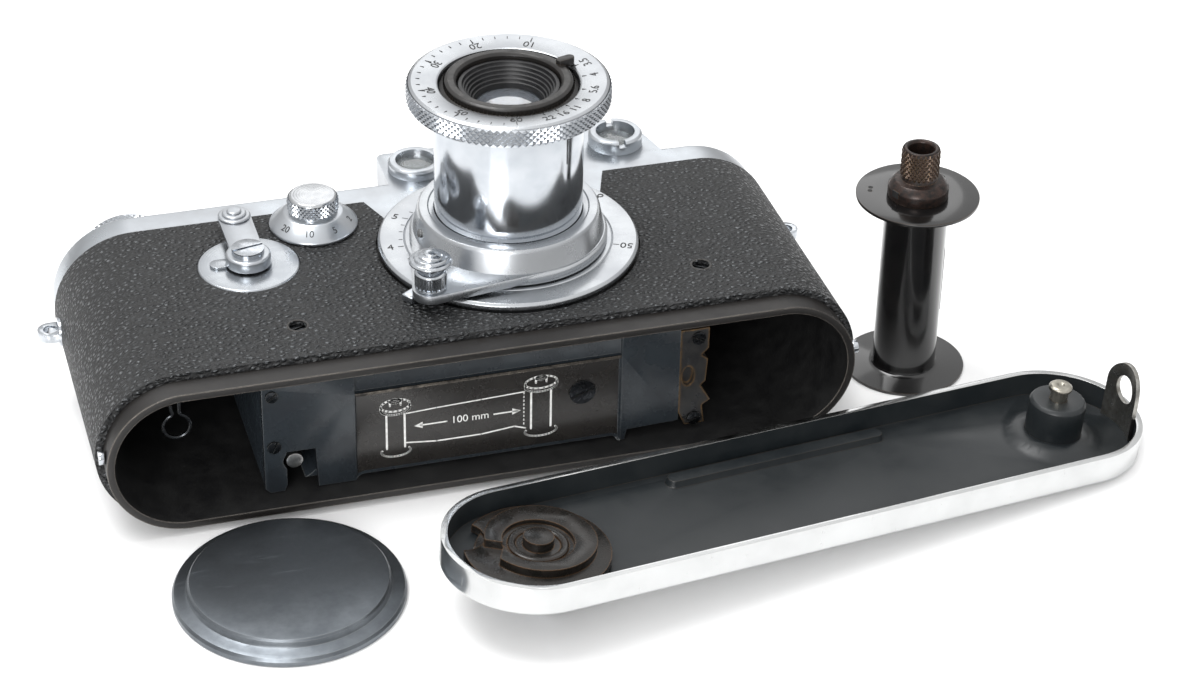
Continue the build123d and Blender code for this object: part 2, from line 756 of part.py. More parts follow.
with BuildPart() as focus_ring:
    with BuildSketch(Plane.XZ):
        with BuildLine():
            Polyline((tube_r + sliding, flange_top_z + gap), (focus_base_r, flange_top_z + gap),
                     (focus_base_r, focus_plate_top_z), (focus_cone_r + 0.4, focus_top_z - 0.5),
                     (focus_cone_r - 0.1, focus_top_z), (tube_r + sliding, focus_top_z), close=True)
        make_face()
    revolve(axis=Axis.Z)
    with BuildSketch(front(focus_plate_bottom_z)):
        Circle(focus_base_r)
        with Locations((focus_knob_x, focus_knob_y)):
            Circle(3.3)
        make_hull()
        Circle(focus_cone_r, mode=Mode.SUBTRACT)
        with Locations((focus_knob_x, focus_knob_y)):
            Circle(infinity_pin_r + sliding, mode=Mode.SUBTRACT)
    extrude(amount=focus_plate_top_z - focus_plate_bottom_z)
focus_ring.part.label = "focus_ring"
export_step(focus_ring.part, "parts/focus_ring.step")

with BuildPart() as focus_knob:
    with BuildSketch(front(focus_plate_top_z, focus_knob_x, focus_knob_y)):
        Circle(focus_knob_r)
        Circle(infinity_pin_r + sliding, mode=Mode.SUBTRACT)
    extrude(amount=focus_knob_top_z - focus_plate_top_z)
focus_knob.part.label = "focus_knob"
export_step(focus_knob.part, "parts/focus_knob.step")

with BuildPart() as infinity_button:
    button_steps = ((3.75, 0.7), (3.1, 0.5), (2.3, 0.5), (1.4, 0.6))
    step_z = infinity_button_z
    for step_r, step_height in button_steps:
        with BuildSketch(front(step_z, focus_knob_x, focus_knob_y)):
            Circle(step_r)
        extrude(amount=step_height)
        step_z += step_height
    with BuildSketch(front(infinity_pin_bottom_z, focus_knob_x, focus_knob_y)):
        Circle(infinity_pin_r)
    extrude(amount=infinity_button_z - infinity_pin_bottom_z)
infinity_button.part.label = "infinity_button"
export_step(infinity_button.part, "parts/infinity_button.step")

with BuildPart() as lens_tube:
    with BuildSketch(front(tube_bottom_z)):
        Circle(tube_r)
        Circle(tube_r - tube_wall, mode=Mode.SUBTRACT)
    extrude(amount=ring_bottom_z - tube_bottom_z)
lens_tube.part.label = "lens_tube"
export_step(lens_tube.part, "parts/lens_tube.step")

with BuildPart() as front_ring:
    with BuildSketch(front(ring_bottom_z)):
        Circle(ring_r)
        Circle(ring_bore_r, mode=Mode.SUBTRACT)
    extrude(amount=ring_top_z - ring_bottom_z)
    chamfer(front_ring.edges().filter_by(GeomType.CIRCLE).filter_by(
        lambda e: e.radius > ring_bore_r + 1), length=0.4)
front_ring.part.label = "front_ring"
export_step(front_ring.part, "parts/front_ring.step")

cell_flange_top_z = 60.7
cell_flange_bottom_z = 57.5
cell_top_z = 62.2
cell_r = 9.0
cell_bottom_z = 50.0
glass_r = 6.1
rear_glass_r = 5.0
iris_z = 54.2

with BuildPart() as lens_cell:
    with BuildSketch(Plane.XZ):
        with BuildLine():
            Polyline((rear_glass_r + running, cell_bottom_z), (8.0, cell_bottom_z),
                     (8.0, cell_flange_bottom_z), (tube_r - tube_wall - running, cell_flange_bottom_z),
                     (tube_r - tube_wall - running, cell_flange_top_z), (cell_r, cell_flange_top_z),
                     (cell_r, cell_top_z), (8.4, cell_top_z), (7.9, 61.3), (7.4, 61.3), (7.2, 60.3),
                     (6.7, 60.3), (glass_r + running, 59.2), (glass_r + running, 57.0), (5.5, 57.0),
                     (5.5, 52.6), (rear_glass_r + running, 52.6), close=True)
        make_face()
    revolve(axis=Axis.Z)
lens_cell.part.label = "lens_cell"
export_step(lens_cell.part, "parts/lens_cell.step")

glass_bulge = 1.2
glass_curve = (glass_r ** 2 + glass_bulge ** 2) / (2 * glass_bulge)
half_angle = asin(glass_r / glass_curve)

with BuildPart() as lens_glasses:
    with BuildSketch(Plane.XZ):
        with BuildLine():
            Line((0, 57.0), (glass_r, 57.0))
            Line((glass_r, 57.0), (glass_r, 58.1))
            ThreePointArc((glass_r, 58.1), (glass_curve * sin(half_angle / 2),
                          58.1 + glass_bulge - glass_curve * (1 - cos(half_angle / 2))),
                          (0, 58.1 + glass_bulge))
            Line((0, 58.1 + glass_bulge), (0, 57.0))
        make_face()
    revolve(axis=Axis.Z)
    with BuildSketch(front(50.8)):
        Circle(rear_glass_r)
    extrude(amount=1.6)
lens_glasses.part.label = "lens_glasses"
export_step(lens_glasses.part, "parts/lens_glasses.step")

with BuildPart() as iris_blades:
    with BuildSketch(front(iris_z)):
        Circle(5.3)
        Circle(3.4, mode=Mode.SUBTRACT)
        with PolarLocations(4.5, 6):
            Rectangle(3.0, 0.3, mode=Mode.SUBTRACT)
    extrude(amount=0.2)
iris_blades.part.label = "iris_blades"
export_step(iris_blades.part, "parts/iris_blades.step")

aperture_ring_z = cell_flange_top_z + gap
aperture_ring_top_z = 63.3
aperture_step = 1.1          # from the front ring's bore in to the aperture ring's collar
aperture_angle = 17.0

with BuildPart() as aperture_ring:
    with BuildSketch(front(aperture_ring_z)):
        Circle(ring_bore_r - gap)
        Circle(cell_r + 0.15, mode=Mode.SUBTRACT)
    extrude(amount=0.8)
    with BuildSketch(front(aperture_ring_z)):
        Circle(ring_bore_r - aperture_step)
        Circle(cell_r + 0.15, mode=Mode.SUBTRACT)
    extrude(amount=aperture_ring_top_z - aperture_ring_z)
    with BuildSketch(front(aperture_ring_top_z)):
        with Locations(Location(polar(11.9, aperture_angle), aperture_angle)):
            SlotOverall(3.6, 1.8)
    extrude(amount=0.8)
aperture_ring.part.label = "aperture_ring"
export_step(aperture_ring.part, "parts/aperture_ring.step")

# ---------------------------------------------------------------- shutter crate and film path

crate_middle_x = (crate_left + crate_right) / 2
crate_middle_z = (crate_back_z + crate_front_z) / 2
crate_width = crate_right - crate_left
crate_depth = crate_front_z - crate_back_z
crate_height = top_plate_y - crate_bottom_y
sprocket_bay_r = 5.0

with BuildPart() as shutter_crate:
    with BuildSketch(level(crate_bottom_y, crate_middle_x, crate_middle_z)):
        Rectangle(crate_width, crate_depth)
    extrude(amount=-crate_height)
    with BuildSketch(level(top_plate_y, body_x, mid_z)):
        SlotOverall(chamber_length - 2 * sliding, chamber_depth - 2 * sliding)
    extrude(amount=-top_plate_thickness)
    with BuildSketch(level(crate_bottom_y, crate_middle_x, crate_middle_z)):
        Rectangle(crate_width - 2 * crate_wall, crate_depth - 2 * crate_wall)
    extrude(amount=-crate_height, mode=Mode.SUBTRACT)
    with BuildSketch(front(crate_front_z)):
        Circle(tunnel_r)
    extrude(amount=-crate_wall, mode=Mode.SUBTRACT)
    with BuildSketch(front(crate_front_z)):
        Circle(mount_hub_r)
    extrude(amount=crate_wall + shell_depth, mode=Mode.SUBTRACT)
    with BuildSketch(front(crate_back_z)):
        Rectangle(gate_width, gate_height)
    extrude(amount=crate_wall, mode=Mode.SUBTRACT)
    with BuildSketch(level(crate_bottom_y, sprocket_x, sprocket_z)):
        Circle(sprocket_bay_r)
    extrude(amount=-crate_height, mode=Mode.SUBTRACT)
    with BuildSketch(level(top_plate_y)):
        with Locations((takeup_x, mid_z), (rewind_x, mid_z)):
            Circle(shaft_r + running)
        with Locations((sprocket_x, sprocket_z), (drum_x, curtain_z + curtain_thickness + drum_r),
                       (roller_x, curtain_z + curtain_thickness + roller_r)):
            Circle(small_shaft_r + running)
    extrude(amount=-top_plate_thickness, mode=Mode.SUBTRACT)
shutter_crate.part.label = "shutter_crate"
export_step(shutter_crate.part, "parts/shutter_crate.step")

panel_middle_x = (panel_left + panel_right) / 2
panel_width = panel_right - panel_left
sheet_low_z = 2.95
sheet_high_z = 24.6
ledge_z = 20.7
big_screw_x = 6.3
big_screw_z = 14.1
big_screw_r = 2.5

with BuildPart() as crate_bottom_plate:
    with BuildSketch(level(crate_bottom_y)):
        with BuildLine():
            Polyline((crate_left, sheet_high_z), (crate_left, 3.9), (crate_left + 0.9, 3.0),
                     (crate_left + 3.4, 3.0), (crate_left + 3.9, 4.2), (crate_left + 3.9, 11.0),
                     (-41.6, 11.0), (-41.2, sheet_low_z), (panel_left, sheet_low_z),
                     (panel_left + 1.2, 3.6), (panel_right - 1.2, 3.6), (panel_right - 0.5, sheet_low_z),
                     (panel_right + 0.8, sheet_low_z), (panel_right + 1.2, 5.0), (crate_right, 5.4),
                     (crate_right, sheet_high_z), close=True)
        make_face()
        with Locations((sprocket_x, sprocket_z)):
            Circle(small_shaft_r + 0.5, mode=Mode.SUBTRACT)
    extrude(amount=bottom_plate_thickness)
    panel_face_y = crate_bottom_y - bottom_plate_thickness
    with BuildSketch(level(panel_face_y, panel_middle_x, (ledge_z + sheet_low_z) / 2)):
        Rectangle(panel_width, ledge_z - sheet_low_z)
    extrude(amount=-panel_recess, mode=Mode.SUBTRACT, taper=20)
    with BuildSketch(level(panel_face_y, panel_middle_x, (ledge_z + sheet_high_z) / 2 + 0.15)):
        Rectangle(panel_width, sheet_high_z - ledge_z - 0.3)
    extrude(amount=-0.9, mode=Mode.SUBTRACT)
    with BuildSketch(level(panel_face_y, big_screw_x, big_screw_z)):
        Circle(big_screw_r + 0.15)
    extrude(amount=-bottom_plate_thickness, mode=Mode.SUBTRACT)
crate_bottom_plate.part.label = "crate_bottom_plate"
export_step(crate_bottom_plate.part, "parts/crate_bottom_plate.step")

with BuildPart() as crate_screws:
    plate_screws_at = [(-48.9, 22.9, 1.1), (-48.8, 12.5, 1.2)]
    guide_screws_at = [(27.3, 22.3, 1.3), (26.9, 5.5, 1.3)]
    for screw_x, screw_z, screw_r in plate_screws_at + guide_screws_at:
        with BuildSketch(level(panel_face_y, screw_x, screw_z)):
            Circle(screw_r)
        extrude(amount=0.35)
        with BuildSketch(level(panel_face_y - 0.35, screw_x, screw_z)):
            Rectangle(3 * screw_r, 0.35, rotation=40)
        extrude(amount=-0.25, mode=Mode.SUBTRACT)
    with BuildSketch(level(crate_bottom_y, big_screw_x, big_screw_z)):
        Circle(big_screw_r)
    extrude(amount=bottom_plate_thickness - panel_recess)
    with BuildSketch(level(crate_bottom_y - bottom_plate_thickness + panel_recess, big_screw_x,
                           big_screw_z)):
        Rectangle(3 * big_screw_r, 0.4, rotation=22)
    extrude(amount=-0.3, mode=Mode.SUBTRACT)
crate_screws.part.label = "crate_screws"
export_step(crate_screws.part, "parts/crate_screws.step")

with BuildPart() as film_guide:
    with BuildSketch(level(panel_face_y)):
        with BuildLine():
            Polyline((crate_right, 24.2), (29.3, 24.2), (29.3, 19.9), (28.0, 18.6), (29.2, 17.6),
                     (28.9, 13.0), (28.0, 12.2), (29.9, 8.9), (28.4, 7.9), (28.9, 4.2),
                     (25.2, 4.2), (crate_right, 7.0), close=True)
        make_face()
    extrude(amount=-12.0)
    with BuildSketch(level(panel_face_y, 25.6, 14.5)):
        Ellipse(1.1, 2.0)
    extrude(amount=-1.0, mode=Mode.SUBTRACT)
film_guide.part.label = "film_guide"
export_step(film_guide.part, "parts/film_guide.step")

spring_x = -65.0
spring_y = -26.0
spring_loop_r = 2.4
spring_wire_r = 0.35
spring_loop_z = 18.9

with BuildPart() as film_spring:
    with BuildSketch(front(spring_loop_z)):
        with Locations((spring_x + spring_loop_r, spring_y)):
            Circle(spring_wire_r)
    revolve(axis=Axis((spring_x, spring_y, spring_loop_z), (0, 1, 0)))
    with BuildSketch(front(spring_loop_z + spring_loop_r)):
        with Locations((spring_x, spring_y)):
            Circle(spring_wire_r)
    extrude(amount=shell_front_z - shell_wall - spring_loop_z - spring_loop_r)
film_spring.part.label = "film_spring"
export_step(film_spring.part, "parts/film_spring.step")

pressure_plate_width = 52.0
pressure_plate_height = 30.0
pressure_plate_z = 3.3
pressure_plate_thickness = 0.7
chamber_back_z = shell_back_z + shell_wall

with BuildPart() as pressure_plate:
    with BuildSketch(front(pressure_plate_z)):
        RectangleRounded(pressure_plate_width, pressure_plate_height, 2.0)
    extrude(amount=pressure_plate_thickness)
pressure_plate.part.label = "pressure_plate"
export_step(pressure_plate.part, "parts/pressure_plate.step")

with BuildPart() as pressure_springs:
    for spring_side in (-1, 1):
        with BuildSketch(front(chamber_back_z, 0, spring_side * 8.0)):
            Rectangle(30.0, 4.0)
        extrude(amount=pressure_plate_z - chamber_back_z)
        with BuildSketch(front(chamber_back_z, 0, spring_side * 8.0)):
            Rectangle(22.0, 4.0)
        extrude(amount=(pressure_plate_z - chamber_back_z) / 2, mode=Mode.SUBTRACT)
pressure_springs.part.label = "pressure_springs"
export_step(pressure_springs.part, "parts/pressure_springs.step")

with BuildPart() as shutter_curtain:
    with BuildSketch(front(curtain_z)):
        with Locations(((drum_x + roller_x) / 2, -3.5)):
            Rectangle(drum_x - roller_x, 38.0)
    extrude(amount=curtain_thickness)
shutter_curtain.part.label = "shutter_curtain"
export_step(shutter_curtain.part, "parts/shutter_curtain.step")

with BuildPart() as shutter_drum:
    with BuildSketch(level(crate_bottom_y + gap, drum_x, curtain_z + curtain_thickness + drum_r)):
        Circle(drum_r - running)
    extrude(amount=-(crate_height - 2 * gap))
    with BuildSketch(level(top_plate_y - gap, drum_x, curtain_z + curtain_thickness + drum_r)):
        Circle(small_shaft_r)
    extrude(amount=-(top_plate_thickness + gap))
shutter_drum.part.label = "shutter_drum"
export_step(shutter_drum.part, "parts/shutter_drum.step")

with BuildPart() as curtain_roller:
    with BuildSketch(level(crate_bottom_y + gap, roller_x, curtain_z + curtain_thickness + roller_r)):
        Circle(roller_r - running)
    extrude(amount=-(crate_height - 2 * gap))
    with BuildSketch(level(top_plate_y - gap, roller_x, curtain_z + curtain_thickness + roller_r)):
        Circle(small_shaft_r)
    extrude(amount=-(top_plate_thickness + gap))
curtain_roller.part.label = "curtain_roller"
export_step(curtain_roller.part, "parts/curtain_roller.step")

sprocket_core_r = 3.3
sprocket_rim_r = 3.9
sprocket_teeth = 8
film_hole_pitch_y = 28.2

with BuildPart() as sprocket_shaft:
    with BuildSketch(level(crate_bottom_y + gap, sprocket_x, sprocket_z)):
        Circle(sprocket_core_r)
    extrude(amount=-(crate_height - 2 * gap))
    with BuildSketch(level(panel_face_y, sprocket_x, sprocket_z)):
        Circle(small_shaft_r)
    extrude(amount=-(covering_top_y - panel_face_y))
    for row_y in (-film_hole_pitch_y / 2, film_hole_pitch_y / 2):
        with BuildSketch(level(row_y - 0.9, sprocket_x, sprocket_z)):
            Circle(sprocket_rim_r)
            with PolarLocations(sprocket_rim_r, sprocket_teeth):
                Rectangle(1.2, 1.0)
        extrude(amount=-1.8)
sprocket_shaft.part.label = "sprocket_shaft"
export_step(sprocket_shaft.part, "parts/sprocket_shaft.step")

# ---------------------------------------------------------------- base plate

plate_tilt_r = radians(plate_tilt)
plate_turn_r = radians(plate_turn)
plate_long = (cos(plate_tilt_r) * cos(plate_turn_r), cos(plate_tilt_r) * sin(plate_turn_r),
              -sin(plate_tilt_r))
plate_normal = (sin(plate_tilt_r) * cos(plate_turn_r), sin(plate_tilt_r) * sin(plate_turn_r),
                cos(plate_tilt_r))
plate_bottom = Plane(origin=(plate_x, plate_y, body_length / 2 * sin(plate_tilt_r)),
                     x_dir=plate_long, z_dir=plate_normal)


def plate_level(height, u=0.0, v=0.0):
    """Plane parallel to the base plate's outer face, at a height above it."""
    spot = plate_bottom.from_local_coords((u, v, height))
    return Plane(origin=spot, x_dir=plate_long, z_dir=plate_normal)


ridge_length = 44.0
ridge_width = 3.2
ridge_v = 10.9
ridge_height = 1.2
dome_r = 9.5
dome_height = 1.6

with BuildPart() as base_plate:
    with BuildSketch(plate_bottom):
        SlotOverall(body_length, body_depth)
    extrude(amount=plate_height)
    fillet(base_plate.edges().filter_by(lambda e: abs(
        plate_bottom.to_local_coords(e.center()).Z) < 0.01), radius=0.8)
    with BuildSketch(plate_level(plate_floor)):
        SlotOverall(body_length - 2 * plate_wall, body_depth - 2 * plate_wall)
    extrude(amount=plate_height - plate_floor, mode=Mode.SUBTRACT)
    with BuildSketch(plate_level(plate_floor, 0.8, ridge_v)):
        SlotOverall(ridge_length, ridge_width)
    extrude(amount=ridge_height, taper=15)
    with BuildSketch(plate_level(plate_floor, bush_u)):
        Circle(dome_r)
    extrude(amount=dome_height, taper=60)
    with BuildSketch(plate_bottom):
        with Locations((lock_u, 0)):
            Circle(lock_disc_r + 0.2)
        with Locations((bush_u, 0)):
            Circle(bush_boss_r)
    extrude(amount=plate_height, mode=Mode.SUBTRACT)
base_plate.part.label = "base_plate"
export_step(base_plate.part, "parts/base_plate.step")

bush_top = 9.0
pin_r = 1.6
pin_top = 12.0

with BuildPart() as tripod_bush:
    with BuildSketch(plate_level(0, bush_u)):
        Circle(bush_boss_r)
    extrude(amount=bush_top)
    with BuildSketch(plate_level(bush_top, bush_u)):
        Circle(pin_r)
    extrude(amount=pin_top - bush_top)
    with BuildSketch(plate_level(pin_top - 1.1, bush_u)):
        Circle(pin_r + 0.5)
    extrude(amount=1.1)
    with BuildSketch(plate_level(0, bush_u)):
        Circle(bush_bore_r)
    extrude(amount=bush_depth, mode=Mode.SUBTRACT)
tripod_bush.part.label = "tripod_bush"
export_step(tripod_bush.part, "parts/tripod_bush.step")

end_u = body_length / 2 - end_radius
hook_outer_r = end_radius - plate_wall - running

with BuildPart() as base_hook:
    with BuildSketch(plate_level(plate_floor, end_u)):
        Circle(hook_outer_r)
        Circle(hook_outer_r - hook_thickness, mode=Mode.SUBTRACT)
    extrude(amount=hook_eye_z + hook_r - plate_floor)
    hook_way = plate_level(hook_eye_z, end_u)
    with BuildSketch(Plane(origin=hook_way.origin, x_dir=plate_bottom.y_dir, z_dir=plate_long)):
        with Locations((hook_outer_r * sin(radians(hook_angle)), 0)):
            Circle(hook_r)
            with Locations((0, -hook_eye_z / 2)):
                Rectangle(2 * hook_r, hook_eye_z)
            Circle(hook_eye_r, mode=Mode.SUBTRACT)
    extrude(amount=2 * end_radius, mode=Mode.INTERSECT)
base_hook.part.label = "base_hook"
export_step(base_hook.part, "parts/base_hook.step")

lock_disc_top = 2.0
lock_recess_r = lock_disc_r - 0.5
lock_recess_depth = 1.5
key_pin_r = 0.35
key_hinge_height = key_thickness / 2

with BuildPart() as lock_disc:
    with BuildSketch(plate_level(0, lock_u)):
        Circle(lock_disc_r)
    extrude(amount=lock_disc_top)
    with BuildSketch(plate_level(plate_floor + gap, lock_u)):
        Circle(lock_cam_r)
        with Locations((-10.5, 7.5)):
            Circle(4.0, mode=Mode.SUBTRACT)
    extrude(amount=1.4)
    with BuildSketch(plate_level(plate_floor + gap + 1.4, lock_u)):
        with Locations((0.8, 0.6)):
            Circle(9.4)
        with Locations((-8.6, 0.6)):
            Rectangle(4.0, 5.0, rotation=-35, mode=Mode.SUBTRACT)
    extrude(amount=1.5)
    with BuildSketch(plate_level(plate_floor + gap + 2.9, lock_u)):
        Circle(6.0)
    extrude(amount=-0.8, mode=Mode.SUBTRACT)
    with BuildSketch(plate_level(plate_floor + gap + 2.1, lock_u)):
        Circle(2.6)
    extrude(amount=1.7)
    with BuildSketch(plate_level(0, lock_u)):
        Circle(lock_recess_r)
    extrude(amount=lock_recess_depth, mode=Mode.SUBTRACT)
    with BuildSketch(Plane(origin=plate_level(key_hinge_height, lock_u).origin, x_dir=plate_long,
                           z_dir=plate_bottom.y_dir)):
        Circle(key_pin_r)
    extrude(amount=lock_recess_r + 0.2, both=True)
lock_disc.part.label = "lock_disc"
export_step(lock_disc.part, "parts/lock_disc.step")

key_outer_r = 8.4
key_inner_r = 5.6

with BuildPart() as lock_key:
    with BuildSketch(Plane(origin=plate_level(0, lock_u).origin, x_dir=plate_bottom.y_dir,
                           z_dir=plate_long)):
        with BuildLine():
            Line((-key_outer_r, key_thickness), (-key_outer_r, -0.6))
            ThreePointArc((-key_outer_r, -0.6), (0, -key_reach), (key_outer_r, -0.6))
            Line((key_outer_r, -0.6), (key_outer_r, key_thickness))
            Line((key_outer_r, key_thickness), (-key_outer_r, key_thickness))
        make_face()
        with BuildLine():
            Line((-key_inner_r, -0.9), (key_inner_r, -0.9))
            ThreePointArc((key_inner_r, -0.9), (0, 2.8 - key_reach), (-key_inner_r, -0.9))
        make_face(mode=Mode.SUBTRACT)
    extrude(amount=key_thickness / 2, both=True)
    with BuildSketch(Plane(origin=plate_level(key_hinge_height, lock_u).origin, x_dir=plate_long,
                           z_dir=plate_bottom.y_dir)):
        Circle(key_pin_r + running)
    extrude(amount=lock_recess_r, both=True, mode=Mode.SUBTRACT)
lock_key.part.label = "lock_key"
export_step(lock_key.part, "parts/lock_key.step")

# ---------------------------------------------------------------- take-up spool

with BuildPart() as spool:
    for flange_bottom_z in (0.0, spool_flange_top_z - spool_flange):
        with BuildSketch(front(flange_bottom_z, spool_x, spool_y)):
            Circle(spool_flange_r)
        extrude(amount=spool_flange)
    with BuildSketch(front(0, spool_x, spool_y)):
        Circle(spool_core_r)
    extrude(amount=spool_flange_top_z)
    with BuildSketch(front(0, spool_x, spool_y)):
        Circle(shaft_r + 0.2)
        SlotOverall(8.2, 1.6)
    extrude(amount=16.0, mode=Mode.SUBTRACT)
    with BuildSketch(front(12.0, spool_x + spool_core_r, spool_y)):
        Rectangle(3.0, 1.2)
    extrude(amount=14.0, mode=Mode.SUBTRACT)
spool.part.label = "spool"
export_step(spool.part, "parts/spool.step")

with BuildPart() as spool_collar:
    with BuildSketch(front(spool_flange_top_z, spool_x, spool_y)):
        Circle(5.5)
    extrude(amount=spool_neck_top_z - spool_flange_top_z)
    chamfer(spool_collar.edges().filter_by(GeomType.CIRCLE).group_by(Axis.Z)[-1], length=0.8)
    with BuildSketch(front(spool_neck_top_z, spool_x, spool_y)):
        Circle(spool_collar_r)
    extrude(amount=spool_top_z - spool_neck_top_z)
    with BuildSketch(front(spool_neck_top_z, spool_x, spool_y)):
        Circle(2.3)
    extrude(amount=spool_top_z - spool_neck_top_z, mode=Mode.SUBTRACT)
spool_collar.part.label = "spool_collar"
export_step(spool_collar.part, "parts/spool_collar.step")

# ---------------------------------------------------------------- lens cap

cap_wall = 0.7

with BuildPart() as lens_cap:
    with BuildSketch(Plane.XZ.offset(-cap_y)):
        with BuildLine():
            Polyline((cap_x, cap_top_z - cap_wall), (cap_x + cap_plateau_r - cap_wall, cap_top_z - cap_wall),
                     (cap_x + cap_plateau_r, 1.4), (cap_x + cap_r - cap_wall, 1.2),
                     (cap_x + cap_r - cap_wall, 0), (cap_x + cap_r, 0), (cap_x + cap_r, 1.1),
                     (cap_x + cap_r - 0.6, 1.8), (cap_x + cap_plateau_r + 0.5, 2.3),
                     (cap_x + cap_plateau_r, 3.2), (cap_x + cap_plateau_r - 0.7, cap_top_z),
                     (cap_x, cap_top_z), close=True)
        make_face()
    revolve(axis=along_lens(cap_x, cap_y))
lens_cap.part.label = "lens_cap"
export_step(lens_cap.part, "parts/lens_cap.step")

with BuildPart() as cap_lining:
    with BuildSketch(front(0.15, cap_x, cap_y)):
        Circle(cap_r - cap_wall - running)
        Circle(cap_lining_r, mode=Mode.SUBTRACT)
    extrude(amount=1.0)
cap_lining.part.label = "cap_lining"
export_step(cap_lining.part, "parts/cap_lining.step")
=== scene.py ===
import json
from math import atan2, cos, degrees, pi, radians, sin, sqrt

import bmesh
import bpy
from mathutils import Matrix, Vector
from mathutils.geometry import convex_hull_2d


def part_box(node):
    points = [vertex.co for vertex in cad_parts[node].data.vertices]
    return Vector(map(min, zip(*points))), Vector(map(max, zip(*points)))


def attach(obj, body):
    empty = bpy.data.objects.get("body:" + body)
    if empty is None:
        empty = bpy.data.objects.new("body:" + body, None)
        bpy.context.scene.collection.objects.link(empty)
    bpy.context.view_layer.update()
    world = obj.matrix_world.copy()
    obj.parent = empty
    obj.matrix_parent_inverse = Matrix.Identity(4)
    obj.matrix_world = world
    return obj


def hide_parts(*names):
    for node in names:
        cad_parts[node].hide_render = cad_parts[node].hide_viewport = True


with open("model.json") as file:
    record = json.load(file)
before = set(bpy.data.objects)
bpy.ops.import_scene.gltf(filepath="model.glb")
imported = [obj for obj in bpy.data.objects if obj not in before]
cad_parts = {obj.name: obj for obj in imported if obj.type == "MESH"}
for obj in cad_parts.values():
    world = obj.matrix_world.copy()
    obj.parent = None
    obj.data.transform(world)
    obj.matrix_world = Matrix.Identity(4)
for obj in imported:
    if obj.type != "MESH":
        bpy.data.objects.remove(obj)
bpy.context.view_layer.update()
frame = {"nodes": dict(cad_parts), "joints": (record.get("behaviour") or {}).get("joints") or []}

bl_info = {
    "name": "Rangefinder Camera Builder",
    "version": (1, 0, 0),
    "blender": (4, 5, 0),
    "location": "View3D > Sidebar > Rangefinder",
    "description": "Builds the visible pieces of a knob-wound rangefinder camera "
                   "round its CAD frame",
    "category": "Add Mesh",
}

MM = 0.001
ROUND = 144          # steps round a large turned piece
FINE = 64            # steps round a small turned piece
RELIEF = 0.02        # millimetres that a figure stands out
FIGURE = 0.7         # height of a figure as a share of the font's size
FLAT, CORNER = 0.97, 0.80       # cosines between which an edge takes the edge colour: wear, and on some finishes a painted highlight
TOOL_MARK = 1.6      # millimetres between turning marks, as coarse as they need to be to show
LOCK_X, BUSH_X = -51.7, 52.15   # places of the lock and the bush along the base plate
LOCK_RISE = 1.0      # millimetres from the plate's floor to the lock's hinge
ALONG_Y = Matrix.Rotation(radians(-90), 4, "X")     # turns a lathe axis to the camera's top
JOINTS = {joint["name"]: joint for joint in frame["joints"]}


# ------------------------------------------------------------------ places

def span(node):
    """Lowest and highest corner of a CAD node in millimetres."""
    low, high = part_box(node)
    return low / MM, high / MM


def spot(joint):
    """Place of a hinge in millimetres."""
    return Vector(JOINTS[joint]["pos_m"]) / MM


def about_z(angle):
    """Turn about Z in degrees."""
    return Matrix.Rotation(radians(angle), 4, "Z")


def at(x, y, z, turn=0.0):
    """Matrix that moves a piece to a place in millimetres after turning it about Z, in degrees."""
    return Matrix.Translation((x * MM, y * MM, z * MM)) @ about_z(turn)


def ring_at(radius, angle, z, turn=0.0):
    """Matrix for a place on a circle round the lens axis."""
    return at(radius * cos(radians(angle)), radius * sin(radians(angle)), z, turn)


def upright(x, z, y=0.0):
    """Matrix that stands a lathed piece on the deck side at a place in millimetres."""
    return Matrix.Translation((x * MM, y * MM, z * MM)) @ ALONG_Y


def on_cone(angle, radius, z, slope):
    """Matrix for a figure that lies on a slope round the lens axis, in degrees and radians."""
    return (about_z(angle) @ Matrix.Translation((radius * MM, 0, z * MM))
            @ Matrix.Rotation(slope, 4, "Y") @ about_z(90))


# ------------------------------------------------------------------ mesh helpers

def rounded(part, width, segments=2, angle=28.0):
    """Rounds the sharp edges of a bmesh by a width in millimetres."""
    bmesh.ops.recalc_face_normals(part, faces=part.faces)
    sharp = [e for e in part.edges if e.is_manifold and e.calc_face_angle(0.0) > radians(angle)]
    if width and sharp:
        bmesh.ops.bevel(part, geom=sharp, offset=width * MM, offset_type="OFFSET", affect="EDGES",
                        segments=segments, profile=0.5, material=-1, clamp_overlap=True)
    return part


def lathe(profile, steps=ROUND, edge=0.12, segments=2):
    """Spins a closed profile of (radius, height) pairs in millimetres about Z."""
    part = bmesh.new()
    verts = [part.verts.new((r * MM, 0.0, z * MM)) for r, z in profile]
    edges = [part.edges.new(pair) for pair in zip(verts, verts[1:])]
    edges.append(part.edges.new((verts[-1], verts[0])))
    bmesh.ops.spin(part, geom=verts + edges, cent=(0, 0, 0), axis=(0, 0, 1), dvec=(0, 0, 0),
                   angle=2 * pi, steps=steps, use_merge=True, use_normal_flip=False,
                   use_duplicate=False)
    bmesh.ops.remove_doubles(part, verts=part.verts, dist=1e-6)
    bmesh.ops.dissolve_degenerate(part, dist=1e-7, edges=part.edges)
    return rounded(part, edge, segments)


def turned(radius, low, high, bore=0.0, **settings):
    """A disc or a ring between two heights."""
    return lathe([(bore, low), (radius, low), (radius, high), (bore, high)], **settings)


def raised(part, low, high, edge=0.12, segments=2):
    """Gives a flat bmesh outline a thickness between two heights and rounds its edges."""
    bmesh.ops.translate(part, verts=part.verts, vec=(0, 0, low * MM))
    made = bmesh.ops.extrude_face_region(part, geom=list(part.faces))
    top = [item for item in made["geom"] if isinstance(item, bmesh.types.BMVert)]
    bmesh.ops.translate(part, verts=top, vec=(0, 0, (high - low) * MM))
    return rounded(part, edge, segments)


def outline(points):
    """Flat face through points in millimetres."""
    part = bmesh.new()
    part.faces.new([part.verts.new((x * MM, y * MM, 0)) for x, y in points])
    return part


